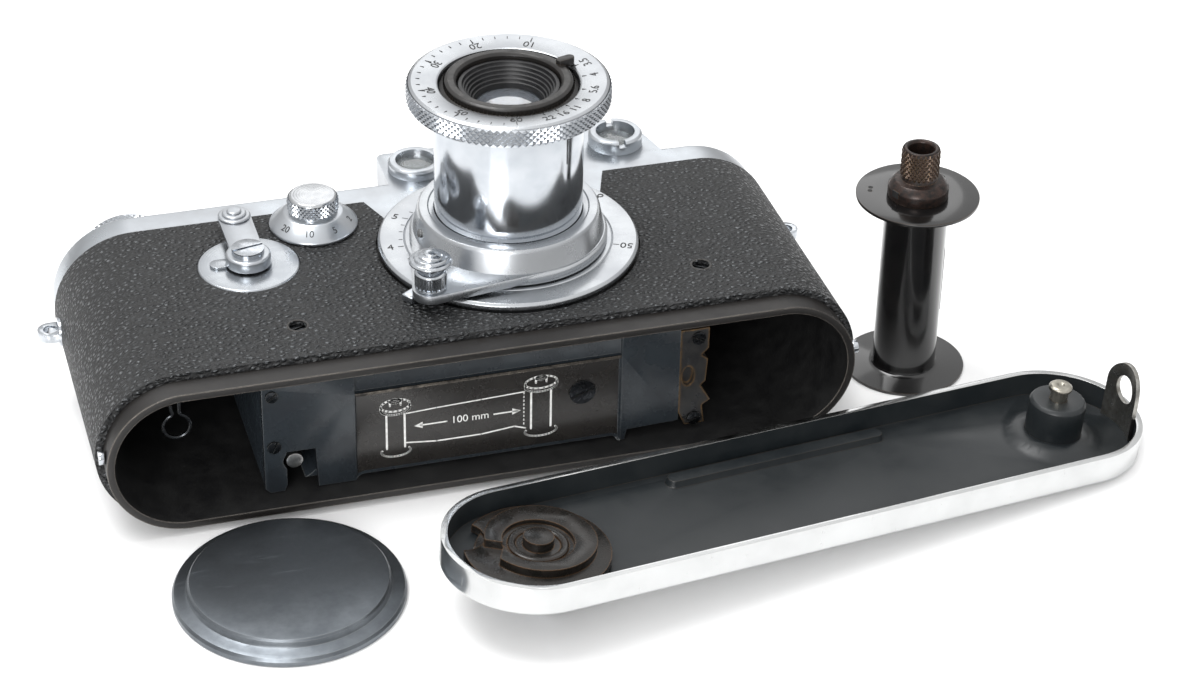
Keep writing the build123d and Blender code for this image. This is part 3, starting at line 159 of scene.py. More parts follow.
def disc(radius, steps=FINE):
    """Flat round face."""
    part = bmesh.new()
    bmesh.ops.create_circle(part, cap_ends=True, radius=radius * MM, segments=steps)
    return part


def stadium(half, radius, steps=ROUND):
    """Flat face with straight sides and round ends."""
    part = disc(radius, steps)
    right = [v for v in part.verts if v.co.x > 1e-7]
    left = [v for v in part.verts if v.co.x < -1e-7]
    bmesh.ops.translate(part, verts=right, vec=(half * MM, 0, 0))
    bmesh.ops.translate(part, verts=left, vec=(-half * MM, 0, 0))
    return part


def uncap(part):
    """Removes faces of more than four corners: what a rim goes round, or a barrel's ends."""
    for face in [f for f in part.faces if len(f.verts) > 4]:
        part.faces.remove(face)
    return part


def hull(circles, low, high, edge=0.2, bore=0.0):
    """Plate round a few circles, each (x, y, radius), with a hole round the origin if wanted."""
    points = [(x + r * cos(2 * pi * i / 96), y + r * sin(2 * pi * i / 96))
              for x, y, r in circles for i in range(96)]
    order = convex_hull_2d([Vector(point) for point in points])
    plate = outline([points[i] for i in order])
    if bore:
        bmesh.ops.create_circle(plate, cap_ends=False, radius=bore * MM, segments=ROUND)
        uncap(plate)
        bmesh.ops.triangle_fill(plate, use_beauty=True, edges=plate.edges)
    return raised(plate, low, high, edge)


def knurl(radius, low, high, columns, rows, depth):
    """Open band with a diamond pattern: every second point of a grid stands out."""
    part = bmesh.new()
    heights = [low + (high - low) * i / rows for i in range(rows + 1)]
    verts = [part.verts.new((radius * MM, 0, z * MM)) for z in heights]
    edges = [part.edges.new(pair) for pair in zip(verts, verts[1:])]
    bmesh.ops.spin(part, geom=verts + edges, cent=(0, 0, 0), axis=(0, 0, 1), dvec=(0, 0, 0),
                   angle=2 * pi, steps=2 * columns, use_merge=True, use_normal_flip=False,
                   use_duplicate=False)
    bmesh.ops.remove_doubles(part, verts=part.verts, dist=1e-6)
    for v in part.verts:
        row = round((v.co.z / MM - low) / (high - low) * rows)
        column = round(atan2(v.co.y, v.co.x) / pi * columns)
        inward = depth if (row + column) % 2 or row in (0, rows) else 0.0
        keep = (radius - inward) / radius
        v.co.x *= keep
        v.co.y *= keep
    middle = (radius - depth / 2) * MM
    for face in list(part.faces):
        corners = list(face.verts)
        outer = [i for i, v in enumerate(corners) if Vector((v.co.x, v.co.y)).length > middle]
        if len(corners) == 4 and outer:
            bmesh.utils.face_split(face, corners[outer[0] - 1], corners[(outer[0] + 1) % 4])
    return part


def flutes(radius, low, high, count, depth):
    """Barrel with straight grooves, two corners out and two in."""
    part = disc(radius, 4 * count)
    for i, v in enumerate(sorted(part.verts, key=lambda v: atan2(v.co.y, v.co.x))):
        if i % 4 in (2, 3):
            v.co *= (radius - depth) / radius
    return raised(part, low, high, 0.0)


def screw(radius, low, high, slot=0.4, turn=0.0, edge=0.1):
    """Slotted cheese-head screw."""
    part = turned(radius, low, (low + high) / 2, steps=FINE, edge=0)
    for side in (-1, 1):
        half = disc(radius)
        bmesh.ops.bisect_plane(half, geom=half.verts[:] + half.edges[:] + half.faces[:],
                               plane_co=(0, side * slot / 2 * MM, 0), plane_no=(0, -side, 0),
                               clear_outer=True)
        join(part, raised(half, (low + high) / 2 - 0.02, high, edge))
    bmesh.ops.rotate(part, verts=part.verts, cent=(0, 0, 0),
                     matrix=Matrix.Rotation(radians(turn), 3, "Z"))
    return part


def rod(points, radius):
    """Round wire along a smooth line of points in millimetres."""
    curve = bpy.data.curves.new("wire", "CURVE")
    curve.dimensions = "3D"
    spline = curve.splines.new("NURBS")
    spline.points.add(len(points) - 1)
    for place, point in zip(spline.points, points):
        place.co = (point[0] * MM, point[1] * MM, point[2] * MM, 1)
    spline.order_u = 3
    spline.use_endpoint_u = True
    curve.bevel_depth = radius * MM
    curve.bevel_resolution = 3
    curve.use_fill_caps = True
    return from_curve(curve)


def from_curve(curve):
    """Turns a curve or text into a bmesh and removes the curve."""
    holder = bpy.data.objects.new("holder", curve)
    bpy.context.scene.collection.objects.link(holder)
    bpy.context.view_layer.update()
    mesh = bpy.data.meshes.new_from_object(holder.evaluated_get(
        bpy.context.evaluated_depsgraph_get()))
    part = bmesh.new()
    part.from_mesh(mesh)
    bpy.data.objects.remove(holder)
    bpy.data.meshes.remove(mesh)
    return part


def numeral(text, height, place):
    """A number of a height in millimetres, centred on a place and standing just proud of it."""
    curve = bpy.data.curves.new("numeral", "FONT")
    curve.body = text
    curve.size = height / FIGURE
    curve.align_x = "CENTER"
    curve.align_y = "CENTER"
    curve.extrude = RELIEF
    curve.resolution_u = 4
    part = from_curve(curve)
    bmesh.ops.remove_doubles(part, verts=part.verts, dist=1e-4)
    part.transform(place @ Matrix.Scale(MM, 4))
    return part


def block(place, x, y, z):
    """Box with its sides in millimetres, centred on a place."""
    part = bmesh.new()
    bmesh.ops.create_cube(part, size=1.0,
                          matrix=place @ Matrix.Diagonal((x * MM, y * MM, z * MM, 1)))
    return part


def bar(start, end, width, low, high):
    """Straight raised line between two places."""
    dx, dy = end[0] - start[0], end[1] - start[1]
    place = at((start[0] + end[0]) / 2, (start[1] + end[1]) / 2, (low + high) / 2,
               degrees(atan2(dy, dx)))
    return block(place, sqrt(dx * dx + dy * dy), width, high - low)


def join(target, part, place=None, material=0):
    """Adds one bmesh to another, moved by a matrix, and frees it."""
    if place is not None:
        part.transform(place)
    for face in part.faces:
        face.material_index = material
    mesh = bpy.data.meshes.new("part")
    part.to_mesh(mesh)
    part.free()
    target.from_mesh(mesh)
    bpy.data.meshes.remove(mesh)
    return target


def copied(node, edge=0.0, segments=2):
    """Copy of a CAD node with its facets merged and its edges rounded."""
    part = bmesh.new()
    part.from_mesh(frame["nodes"][node].data)
    bmesh.ops.remove_doubles(part, verts=part.verts, dist=2e-6)
    bmesh.ops.dissolve_limit(part, angle_limit=radians(0.4), use_dissolve_boundaries=False,
                             verts=part.verts, edges=part.edges, delimit={"NORMAL"})
    return rounded(part, edge, segments, angle=32.0)


def publish(name, part, finishes, body, replaces=(), smooth=30.0):
    """Makes the finished object and says which body it moves with and what it stands for."""
    bmesh.ops.recalc_face_normals(part, faces=part.faces)
    mesh = bpy.data.meshes.new(name)
    part.to_mesh(mesh)
    part.free()
    mesh.shade_smooth()
    mesh.set_sharp_from_angle(angle=radians(smooth))
    for finish in finishes:
        mesh.materials.append(finish)
    piece = bpy.data.objects.new(name, mesh)
    bpy.context.scene.collection.objects.link(piece)
    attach(piece, body)
    if replaces:
        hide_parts(*replaces)
    return piece


def reissue(name, node, finish, body, edge, segments=2, smooth=30.0):
    """Publishes a copy of a CAD node with its edges rounded."""
    publish(name, copied(node, edge, segments), [FINISHES[finish]], body, [node], smooth)


def dress(finish, *nodes):
    """Gives CAD nodes that stay in view their finish."""
    for node in nodes:
        mesh = frame["nodes"][node].data
        mesh.materials.clear()
        mesh.materials.append(finish)


# ------------------------------------------------------------------ finishes

def linear(hex_colour):
    """Linear colour from an sRGB hex value such as 'c9c7c2'."""
    channels = [int(hex_colour[i:i + 2], 16) / 255 for i in (0, 2, 4)]
    return tuple(c / 12.92 if c <= 0.04045 else ((c + 0.055) / 1.055) ** 2.4
                 for c in channels) + (1.0,)


def put(tree, kind, inputs=None, **settings):
    """Adds a shader node with its settings, input values and links."""
    node = tree.nodes.new("ShaderNode" + kind)
    for key, value in settings.items():
        setattr(node, key, value)
    for key, value in (inputs or {}).items():
        if isinstance(value, bpy.types.NodeSocket):
            tree.links.new(value, node.inputs[key])
        else:
            node.inputs[key].default_value = value
    return node


def blank(name):
    """Empty material with an output, and object coordinates to start patterns from."""
    material = bpy.data.materials.new(name)
    material.use_nodes = True
    tree = material.node_tree
    tree.nodes.clear()
    shader = put(tree, "BsdfPrincipled")
    put(tree, "OutputMaterial", {"Surface": shader.outputs[0]})
    return material, tree, shader, put(tree, "TexCoord").outputs["Object"]


def metal(name, face, shade, rough, grain=0.12, dent=0.004, patch=6.0, spread=0.12, edge_wear_and_highlight=None,
          edge_band=0.25, metallic=1.0, coat=0.0, coat_rough=0.1, scratches=0.0, spun=None):
    """Metal or enamel: colour patches, a fine grain in roughness and bump, and paler edges.

    rough is the mean roughness and spread how far patches move it. grain and patch are sizes in
    millimetres, dent is the depth of the grain in millimetres. The edge colour is the hex colour
    that shows at edges: paint or plating rubbed through, and on some finishes partly a painted
    highlight. spun is the (x, y, z) of a lathe axis whose tool marks show.
    """
    material, tree, shader, coords = blank(name)
    patches = put(tree, "TexNoise", {"Vector": coords, "Scale": 1 / (patch * MM), "Detail": 5.0,
                                     "Roughness": 0.6})
    fine = put(tree, "TexNoise", {"Vector": coords, "Scale": 1 / (grain * MM), "Detail": 2.0,
                                  "Roughness": 0.5})
    contrast = put(tree, "MapRange", {0: patches.outputs[0], 1: 0.35, 2: 0.65})
    colour = put(tree, "Mix", {0: contrast.outputs[0], 6: linear(face), 7: linear(shade)},
                 data_type="RGBA").outputs[2]
    roughness = put(tree, "MapRange", {0: patches.outputs[0], 1: 0.3, 2: 0.7,
                                       3: max(0.02, rough - spread), 4: rough + spread})
    rough_now = roughness.outputs[0]
    height = fine.outputs[0]
    if scratches:
        lines = put(tree, "TexNoise", {"Vector": put(tree, "Mapping", {
            "Vector": coords, "Rotation": (0.3, 0.2, 0.7), "Scale": (1.0, 14.0, 1.0)}).outputs[0],
            "Scale": 1 / (9 * MM), "Detail": 8.0, "Roughness": 0.75})
        cut = put(tree, "MapRange", {0: lines.outputs[0], 1: 0.60, 2: 0.68})
        height = put(tree, "Math", {0: height, 1: put(tree, "Math", {
            0: cut.outputs[0], 1: -2.0 * scratches}, operation="MULTIPLY").outputs[0]},
            operation="ADD").outputs[0]
        rough_now = put(tree, "Math", {0: rough_now, 1: put(tree, "Math", {
            0: cut.outputs[0], 1: 0.2 * scratches}, operation="MULTIPLY").outputs[0]},
            operation="ADD").outputs[0]
    if spun:
        centred = put(tree, "Mapping", {"Vector": coords,
                                        "Location": tuple(-c * MM for c in spun)},
                      vector_type="POINT")
        rings = put(tree, "TexWave", {"Vector": centred.outputs[0], "Scale": 1 / (TOOL_MARK * MM),
                                      "Distortion": 0.4, "Detail": 2.0},
                    wave_type="RINGS", rings_direction="Z")
        height = put(tree, "Math", {0: height, 1: rings.outputs[0]}, operation="ADD").outputs[0]
    # Edge colour: paint or plating rubbed through at the edges, and for the shell's lip and the
    # blue-grey frame partly a painted highlight along their edges.
    if edge_wear_and_highlight:
        edge = put(tree, "Bevel", {"Radius": edge_band * MM}, samples=4)
        true = put(tree, "NewGeometry").outputs["Normal"]
        turn = put(tree, "VectorMath", {0: edge.outputs[0], 1: true}, operation="DOT_PRODUCT")
        rubbed = put(tree, "MapRange", {0: turn.outputs["Value"], 1: FLAT, 2: CORNER})
        broken = put(tree, "MapRange", {0: patches.outputs[0], 1: 0.35, 2: 0.6, 3: 0.45, 4: 1.0})
        mask = put(tree, "Math", {0: rubbed.outputs[0], 1: broken.outputs[0]},
                   operation="MULTIPLY")
        colour = put(tree, "Mix", {0: mask.outputs[0], 6: colour, 7: linear(edge_wear_and_highlight)},
                     data_type="RGBA").outputs[2]
        if metallic < 1:
            bare = put(tree, "MapRange", {0: mask.outputs[0], 3: metallic, 4: 1.0})
            tree.links.new(bare.outputs[0], shader.inputs["Metallic"])
    tree.links.new(colour, shader.inputs["Base Color"])
    tree.links.new(rough_now, shader.inputs["Roughness"])
    tree.links.new(put(tree, "Bump", {"Strength": 0.6, "Distance": dent * MM,
                                      "Height": height}).outputs[0], shader.inputs["Normal"])
    if not (edge_wear_and_highlight and metallic < 1):
        shader.inputs["Metallic"].default_value = metallic
    shader.inputs["Coat Weight"].default_value = coat
    shader.inputs["Coat Roughness"].default_value = coat_rough
    return material


def vulcanite(looks):
    """Hard rubber moulded in leather grain: matt low ground, with painted shade in the creases and
    painted glints on the pebble tops.
    """
    material, tree, shader, coords = blank("vulcanite_pebbled")
    grain = looks.pebble_size
    bend = 0.0007                       # metres that a full step of noise moves the pattern
    crease_shade, glint = "0d0d0e", "808386"    # colours of the painted shade in the creases and of the painted glints on the pebble tops
    coords = put(tree, "Mapping", {"Vector": coords, "Scale": (0.72, 1.0, 1.0)}).outputs[0]
    bent = put(tree, "TexNoise", {"Vector": coords, "Scale": 0.9 / grain, "Detail": 2.0})
    pushed = put(tree, "Mix", {0: bend, 4: coords, 5: bent.outputs["Color"]},
                 data_type="VECTOR")
    cells = put(tree, "TexVoronoi", {"Vector": pushed.outputs[1], "Scale": 1 / grain,
                                     "Smoothness": 0.25, "Randomness": 1.0}, feature="SMOOTH_F1")
    creases = put(tree, "TexVoronoi", {"Vector": pushed.outputs[1], "Scale": 1 / grain},
                  feature="DISTANCE_TO_EDGE")
    groove = put(tree, "MapRange", {0: creases.outputs[0], 1: 0.02, 2: 0.30})
    dome = put(tree, "MapRange", {0: cells.outputs[0], 1: 0.75, 2: 0.0})
    fine = put(tree, "TexNoise", {"Vector": coords, "Scale": 7 / grain, "Detail": 3.0})
    height = put(tree, "Math", {0: put(tree, "Math", {0: groove.outputs[0], 1: dome.outputs[0]},
                                       operation="MULTIPLY").outputs[0],
                                1: put(tree, "Math", {0: fine.outputs[0], 1: 0.16},
                                       operation="MULTIPLY").outputs[0]}, operation="ADD")
    patches = put(tree, "TexNoise", {"Vector": coords, "Scale": 1 / (14 * MM), "Detail": 4.0})
    top = put(tree, "Mix", {0: patches.outputs[0], 6: linear(looks.covering_light),
                            7: linear(looks.covering_dark)}, data_type="RGBA")
    # Painted shade: the creases are darkened towards near black.
    ground = put(tree, "Mix", {0: groove.outputs[0], 6: linear(crease_shade), 7: top.outputs[2]},
                 data_type="RGBA")
    # Painted glints: the pebble tops, broken up by fine noise, are lightened towards pale grey.
    rubbed = put(tree, "MapRange", {0: put(tree, "Math", {0: dome.outputs[0], 1: fine.outputs[0]},
                                           operation="MULTIPLY").outputs[0], 1: 0.34, 2: 0.46})
    colour = put(tree, "Mix", {0: rubbed.outputs[0], 6: ground.outputs[2], 7: linear(glint)},
                 data_type="RGBA")
    tree.links.new(colour.outputs[2], shader.inputs["Base Color"])
    tree.links.new(put(tree, "MapRange", {0: height.outputs[0], 1: 0.1, 2: 0.9, 3: 0.6,
                                          4: 0.26}).outputs[0], shader.inputs["Roughness"])
    tree.links.new(put(tree, "Bump", {"Strength": 1.0, "Distance": 0.8 * MM,
                                      "Height": height.outputs[0]}).outputs[0],
                   shader.inputs["Normal"])
    shader.inputs["Specular IOR Level"].default_value = 0.55
    return material


def clear_glass(name, tint, coat=0.0):
    """Ground and coated optical glass: clean, with a faint haze that breaks up its reflections."""
    material, tree, shader, coords = blank(name)
    haze = put(tree, "TexNoise", {"Vector": coords, "Scale": 1 / (2.5 * MM), "Detail": 4.0})
    tree.links.new(put(tree, "MapRange", {0: haze.outputs[0], 1: 0.45, 2: 0.8, 3: 0.0,
                                          4: 0.06}).outputs[0], shader.inputs["Roughness"])
    tree.links.new(put(tree, "Mix", {0: haze.outputs[0], 6: linear(tint), 7: linear("dfe6ea")},
                       data_type="RGBA").outputs[2], shader.inputs["Base Color"])
    shader.inputs["Transmission Weight"].default_value = 0.95
    shader.inputs["IOR"].default_value = 1.6
    shader.inputs["Coat Weight"].default_value = coat
    shader.inputs["Coat IOR"].default_value = 2.4
    shader.inputs["Coat Roughness"].default_value = 0.02
    return material


def fabric(name, thread):
    """Woven cloth: two crossed waves of threads with a soft sheen."""
    material, tree, shader, coords = blank(name)
    warp = put(tree, "TexWave", {"Vector": coords, "Scale": 1 / (2 * thread * MM)},
               wave_type="BANDS", bands_direction="X")
    weft = put(tree, "TexWave", {"Vector": coords, "Scale": 1 / (2 * thread * MM)},
               wave_type="BANDS", bands_direction="Y")
    weave = put(tree, "Math", {0: warp.outputs[0], 1: weft.outputs[0]}, operation="MAXIMUM")
    tree.links.new(put(tree, "Mix", {0: weave.outputs[0], 6: linear("0a0a0b"), 7: linear("1c1c1e")},
                       data_type="RGBA").outputs[2], shader.inputs["Base Color"])
    tree.links.new(put(tree, "Bump", {"Strength": 0.5, "Distance": 0.03 * MM,
                                      "Height": weave.outputs[0]}).outputs[0],
                   shader.inputs["Normal"])
    shader.inputs["Roughness"].default_value = 0.9
    shader.inputs["Sheen Weight"].default_value = 0.4
    return material


FINISHES = {}


def make_finishes(looks):
    """Every finish on the camera, named for what the real one is and how its surface was made."""
    chrome, shade = looks.chrome, "b0b3b7"
    timer, slow = spot("timer_wind"), spot("slow_dial_turn")
    FINISHES.update({
        # Hard rubber moulded in leather grain: near black, matt low down, with painted shade in its
        # creases and painted glints on top
        "covering": vulcanite(looks),
        # Brass blasted with fine grit, then plated: pale and even, with soft reflections
        "satin": metal("satin_chrome_on_blasted_brass", chrome, shade, 0.30, grain=0.10, dent=0.004,
                       patch=9.0, spread=0.05, scratches=0.25),
        # The same plating over cut knurls: bright on the points, with dirt in the low places
        "knurled": metal("chrome_on_knurled_brass", "c4c8cd", "a9adb2", 0.2, grain=0.2,
                         dent=0.003, patch=5.0, spread=0.05),
        # Turned ring, blasted and plated: soft, with faint turning marks round the lens
        "flange": metal("satin_chrome_turned_ring", "bdc0c3", "b3b6ba", 0.28, grain=0.10,
                        dent=0.003, patch=7.0, spread=0.05, spun=(0, 0, 0), scratches=0.2),
        # Drawn and polished tube: nearly a mirror, with faint rubbing from its sliding
        "mirror": metal("polished_chrome_tube", "c8ccd1", "bbc0c6", 0.14, grain=0.5, dent=0.0012,
                        patch=5.0, spread=0.03, scratches=0.5),
        # Buffed and plated bright: clear reflections under light handling marks
        "bright": metal("polished_chrome", "ccd0d5", "adb1b6", 0.15, grain=0.3, dent=0.002,
                        patch=1.5, spread=0.05, scratches=0.3),
        # Nickel plate left dull: warmer and softer than the chrome
        "nickel": metal("dull_nickel_on_brass", "bdb9ae", "98948a", 0.3, patch=3.0, spread=0.08),
        # Milled steel: mid grey, with fine tool marks and scratches
        "steel": metal("machined_steel", "a9a9a8", "7c7b79", 0.32, grain=0.15, patch=2.5,
                       spread=0.1, scratches=0.6),
        # Stoved paint on the body shell: brown black, with pale edges that are partly paint rubbed
        # to bare metal and partly a painted highlight
        "lip": metal("stoved_paint_brown_black", "191614", "12100f", 0.45, grain=0.25, dent=0.01,
                     patch=3.5, spread=0.08, edge_wear_and_highlight="b3aaa0", edge_band=0.4, metallic=0.0),
        # Flat black sprayed inside the body: almost no shine
        "inside": metal("matt_black_interior_paint", "101011", "171717", 0.6, grain=0.3, dent=0.02,
                        patch=4.0, spread=0.1, metallic=0.0),
        # Black anodised aluminium: silky, and grey at its worn corners
        "anodised": metal("black_anodised_aluminium", "131314", "1d1d1f", 0.4, grain=0.2,
                          dent=0.003, patch=1.5, spread=0.08, metallic=0.0, edge_wear_and_highlight="4c4c4c",
                          edge_band=0.08),
        # Enamel baked on a brass ring: a low shine, brown where the brass comes through
        "ring_black": metal("black_enamel_on_brass_ring", "201d1b", "141312", 0.35, grain=0.2,
                            dent=0.003, patch=1.2, spread=0.1, metallic=0.0, edge_wear_and_highlight="6d6152",
                            edge_band=0.12),
        # Paint wiped into engraved figures: flat black, a little uneven
        "engraving": metal("engraving_fill_black", "161616", "2c2c2c", 0.55, patch=0.6,
                           metallic=0.0),
        # White ink printed on enamel: flat and opaque
        "print": metal("silk_screen_white", "f0f0ee", "d5d5d2", 0.6, patch=0.8, metallic=0.0),
        # Blue-grey enamel of the inner frame: satin, a little dusty, and grey at its corners,
        # partly worn enamel and partly a painted highlight
        "crate": metal("blue_grey_enamel", "2d3338", "23282d", 0.28, grain=0.2, dent=0.006,
                       patch=5.0, spread=0.09, metallic=0.15, edge_wear_and_highlight="8e9090", edge_band=0.3, coat=0.2,
                       coat_rough=0.3, scratches=0.15),
        # Brown-black enamel in the sunk panel: smooth, with a soft shine
        "panel": metal("brown_black_enamel", "2b2927", "232120", 0.27, grain=0.2, dent=0.006,
                       patch=4.0, spread=0.05, metallic=0.1, coat=0.25, coat_rough=0.25,
                       scratches=0.15),
        # Black enamel on cast brass: worn through to the brass at its edges
        "guide": metal("black_enamel_worn_to_brass", "1e1f21", "2b2a29", 0.35, grain=0.3,
                       dent=0.01, patch=1.4, spread=0.1, metallic=0.1, edge_wear_and_highlight="9a7748", edge_band=0.8),
        # Black lacquer inside the base plate: satin, rubbed where the body slides in
        "tray": metal("satin_black_lacquer", "13181b", "1b1f21", 0.4, grain=0.25, dent=0.006,
                      patch=8.0, spread=0.07, metallic=0.0, edge_wear_and_highlight="57493a", edge_band=0.2, coat=0.08,
                      coat_rough=0.3, scratches=0.4),
        # Lacquered brass of the lock: rubbed to brown metal at its corners
        "cam": metal("lacquered_brass_rubbed", "161513", "1f1b18", 0.27, grain=0.2, dent=0.008,
                     patch=2.6, spread=0.08, metallic=0.1, edge_wear_and_highlight="7a5c40", edge_band=0.45, scratches=0.4),
        # Plated sheet of the base plate: smooth and bright, with many fine scratches
        "plate": metal("satin_chrome_plate", "d0d1d1", "cacbcb", 0.20, grain=0.15, dent=0.004,
                       patch=6.0, spread=0.07, scratches=0.8),
        # Gloss lacquer on the reel: sharp reflections, and brown at its rims
        "spool": metal("gloss_black_lacquer", "0c0c0d", "131212", 0.16, grain=0.5, dent=0.003,
                       patch=6.0, spread=0.05, metallic=0.0, edge_wear_and_highlight="7a6046", edge_band=0.14, coat=0.5,
                       coat_rough=0.08, scratches=0.4),
        # Brown lacquer on knurled brass: rubbed to the metal on its points
        "collar": metal("brown_lacquer_on_knurled_brass", "3a2c27", "191615", 0.32, grain=0.2,
                        dent=0.006, patch=0.9, spread=0.1, metallic=0.5, edge_wear_and_highlight="8d7256", edge_band=0.2),
        # Pressed cap, nickel plated: grey and scuffed all over
        "cap": metal("nickel_plated_cap_scuffed", "767b80", "62676c", 0.36, grain=0.3, dent=0.004,
                     patch=5.0, spread=0.05, metallic=0.95, scratches=0.9, edge_wear_and_highlight="a5a7a8", edge_band=0.4),
        # Ground glass with one thin coating: clear, with a cool reflection
        "lens_glass": clear_glass("coated_optical_glass", "b9c4da", coat=1.0),
        # Plain ground glass: clear, with a trace of green
        "window": clear_glass("plain_window_glass", "cfd6d6"),
        # Rubberised cloth of the shutter: matt black with a fine weave
        "cloth": fabric("rubberised_shutter_cloth", 0.2),
        # Lining of the cap: deep black with a soft sheen
        "velvet": fabric("black_velvet", 0.15),
        # Knob top turned on a lathe and plated: fine rings that catch the light
        "spun": metal("spun_chrome_knob_top", "c4c6c8", "b8babd", 0.2, grain=0.2, dent=0.012,
                      patch=2.0, spread=0.05, spun=(slow.x, slow.y, 0)),
        # Timer's plate, turned and plated: fine rings round its screw
        "timer": metal("spun_chrome_timer_plate", "b4b8bc", "aaaeb3", 0.27, grain=0.15,
                       dent=0.006, patch=4.0, spread=0.05, spun=(timer.x, timer.y, 0)),
        # Enamelled edge of the panel, rubbed down to a dull brown metal
        "steel_edge": metal("rubbed_enamel_edge", "6d675f", "2f2c2a", 0.3, patch=1.0,
                            metallic=0.6),
        # Blued steel screws: nearly black, and grey where a driver has touched them
        "dark_steel": metal("blued_steel_screw", "3a3c3f", "26282b", 0.3, patch=0.8,
                            scratches=0.5, edge_wear_and_highlight="85827c", edge_band=0.12),
        # Ground spring steel: grey, with coarse grinding marks
        "steel_ear": metal("ground_spring_steel", "a8a7a3", "827f79", 0.33, grain=0.2,
                           dent=0.01, patch=1.2, spread=0.1, scratches=1.2),
    })


# ------------------------------------------------------------------ settings and operators

class RangefinderLooks(bpy.types.PropertyGroup):
    """Sizes and colours that a user would change"""
    pebble_size: bpy.props.FloatProperty(
        name="Pebble Size", description="Width of one pebble of the covering's grain",
        default=0.88 * MM, min=0.2 * MM, max=3 * MM, precision=5, unit="LENGTH")
    covering_light: bpy.props.StringProperty(
        name="Covering Light", description="sRGB hex colour of the covering where it is rubbed",
        default="3a3c3e")
    covering_dark: bpy.props.StringProperty(
        name="Covering Dark", description="sRGB hex colour of the covering in its darker patches",
        default="242628")
    chrome: bpy.props.StringProperty(
        name="Chrome", description="sRGB hex colour of the satin chrome", default="bbc0c5")
    floor_size: bpy.props.FloatProperty(
        name="Floor Size", description="Side of the pale floor", default=6.0, min=1.0,
        unit="LENGTH")


class BuildBody(bpy.types.Operator):
    """Builds the shell's lip, the covering and what is fixed to them"""
    bl_idname = "rangefinder.body"
    bl_label = "Body"

    def execute(self, context):
        low, high = span("body_shell")
        half = (high.x - low.x - high.z + low.z) / 2
        depth = (high.z - low.z) / 2
        wall, paint_line = 1.4, 0.35        # wall of the shell; where the inside paint starts
        ring = stadium(half, depth, 192)
        bmesh.ops.inset_region(ring, faces=list(ring.faces), thickness=wall * MM,
                               use_even_offset=True, use_boundary=True)
        uncap(ring)
        raised(ring, 0, high.y - low.y, edge=0)
        lip = [e for e in ring.edges if e.calc_face_angle(0) > 1.0
               and all(v.co.z < 1e-6 for v in e.verts)]
        bmesh.ops.bevel(ring, geom=lip, offset=0.14 * MM, offset_type="OFFSET", affect="EDGES",
                        segments=3, profile=0.5, material=-1, clamp_overlap=True)
        place = upright((low.x + high.x) / 2, (low.z + high.z) / 2, low.y)
        for face in ring.faces:
            centre = face.calc_center_median()
            reach = Vector((max(abs(centre.x) - half * MM, 0), centre.y)).length
            inside = reach < (depth - wall + 0.1) * MM and centre.z > paint_line * MM
            face.material_index = 1 if inside else 0
        ring.transform(place)
        publish("shell_lip", ring, [FINISHES["lip"], FINISHES["inside"]], "camera_body",
                ["body_shell"])
        reissue("covering", "body_covering", "covering", "camera_body", 0.12)
        screws = bmesh.new()
        low, high = span("covering_screws")
        head = 1.5
        washer = (1.95, 29.7, 30.04)        # radius, underside and top
        for x, y, turn in ((low.x + head, low.y + head, 20), (high.x - head, high.y - head, -35)):
            place = at(x, y, 0)
            join(screws, screw(head, low.z, low.z + 2.05, 0.42, turn), place)
            join(screws, turned(*washer, bore=1.55, steps=FINE, edge=0.1), place, 1)
        publish("covering_screw_heads", screws, [FINISHES["dark_steel"], FINISHES["ring_black"]],
                "camera_body", ["covering_screws"])
        reissue("strap_lug_pair", "strap_lugs", "bright", "camera_body", 0.1)
        reissue("base_stud_pair", "base_studs", "bright", "camera_body", 0.12)
        return {"FINISHED"}


class BuildTop(bpy.types.Operator):
    """Builds the chrome top cover, its windows, eyepieces and accessory shoe"""
    bl_idname = "rangefinder.top"
    bl_label = "Top Cover"

    def execute(self, context):
        reissue("top_housing", "top_cover", "satin", "camera_body", 0.3, 3)
        low, high = span("window_rings")
        rings = copied("window_rings", 0.12)
        base = span("top_cover")[1].z
        ring, glass, cup = 5.1, 3.66, 3.8       # radii of bezel, front glass and eyepiece
        left, right = low.x + ring, high.x - ring
        y = (low.y + high.y) / 2
        # A black disc under each window glass stands in for the dark hollow behind the window:
        # painted shade.
        for x in (left, right):
            join(rings, turned(3.68, 0.02, 0.1, steps=FINE, edge=0), at(x, y, base), 1)
        publish("window_bezels", rings, [FINISHES["satin"], FINISHES["anodised"]], "camera_body",
                ["window_rings"])
        glasses = bmesh.new()
        dome = [(0, 0.25), (glass, 0.25), (glass, 0.7), (2.6, 0.95), (1.3, 1.1), (0, 1.15)]
        for x in (left, right):
            join(glasses, lathe(dome, steps=FINE, edge=0), at(x, y, base))
        join(glasses, block(at(10.0, y, base - 0.9), 7.8, 5.3, 0.9))
        back = span("window_glasses")[0].z
        for x in (span("eyepieces")[0].x + cup, span("eyepieces")[1].x - cup):
            join(glasses, lathe([(0, 0), (2.6, 0), (2.6, 0.7), (0, 0.9)], steps=FINE, edge=0.05),
                 at(x, y, back))
        publish("window_lenses", glasses, [FINISHES["window"]], "camera_body",
                ["window_glasses"])
        reissue("eyepiece_cups", "eyepieces", "anodised", "camera_body", 0.15)
        reissue("shoe", "accessory_shoe", "satin", "camera_body", 0.2)
        reissue("shoe_screw_heads", "shoe_screws", "bright", "camera_body", 0.08)
        return {"FINISHED"}


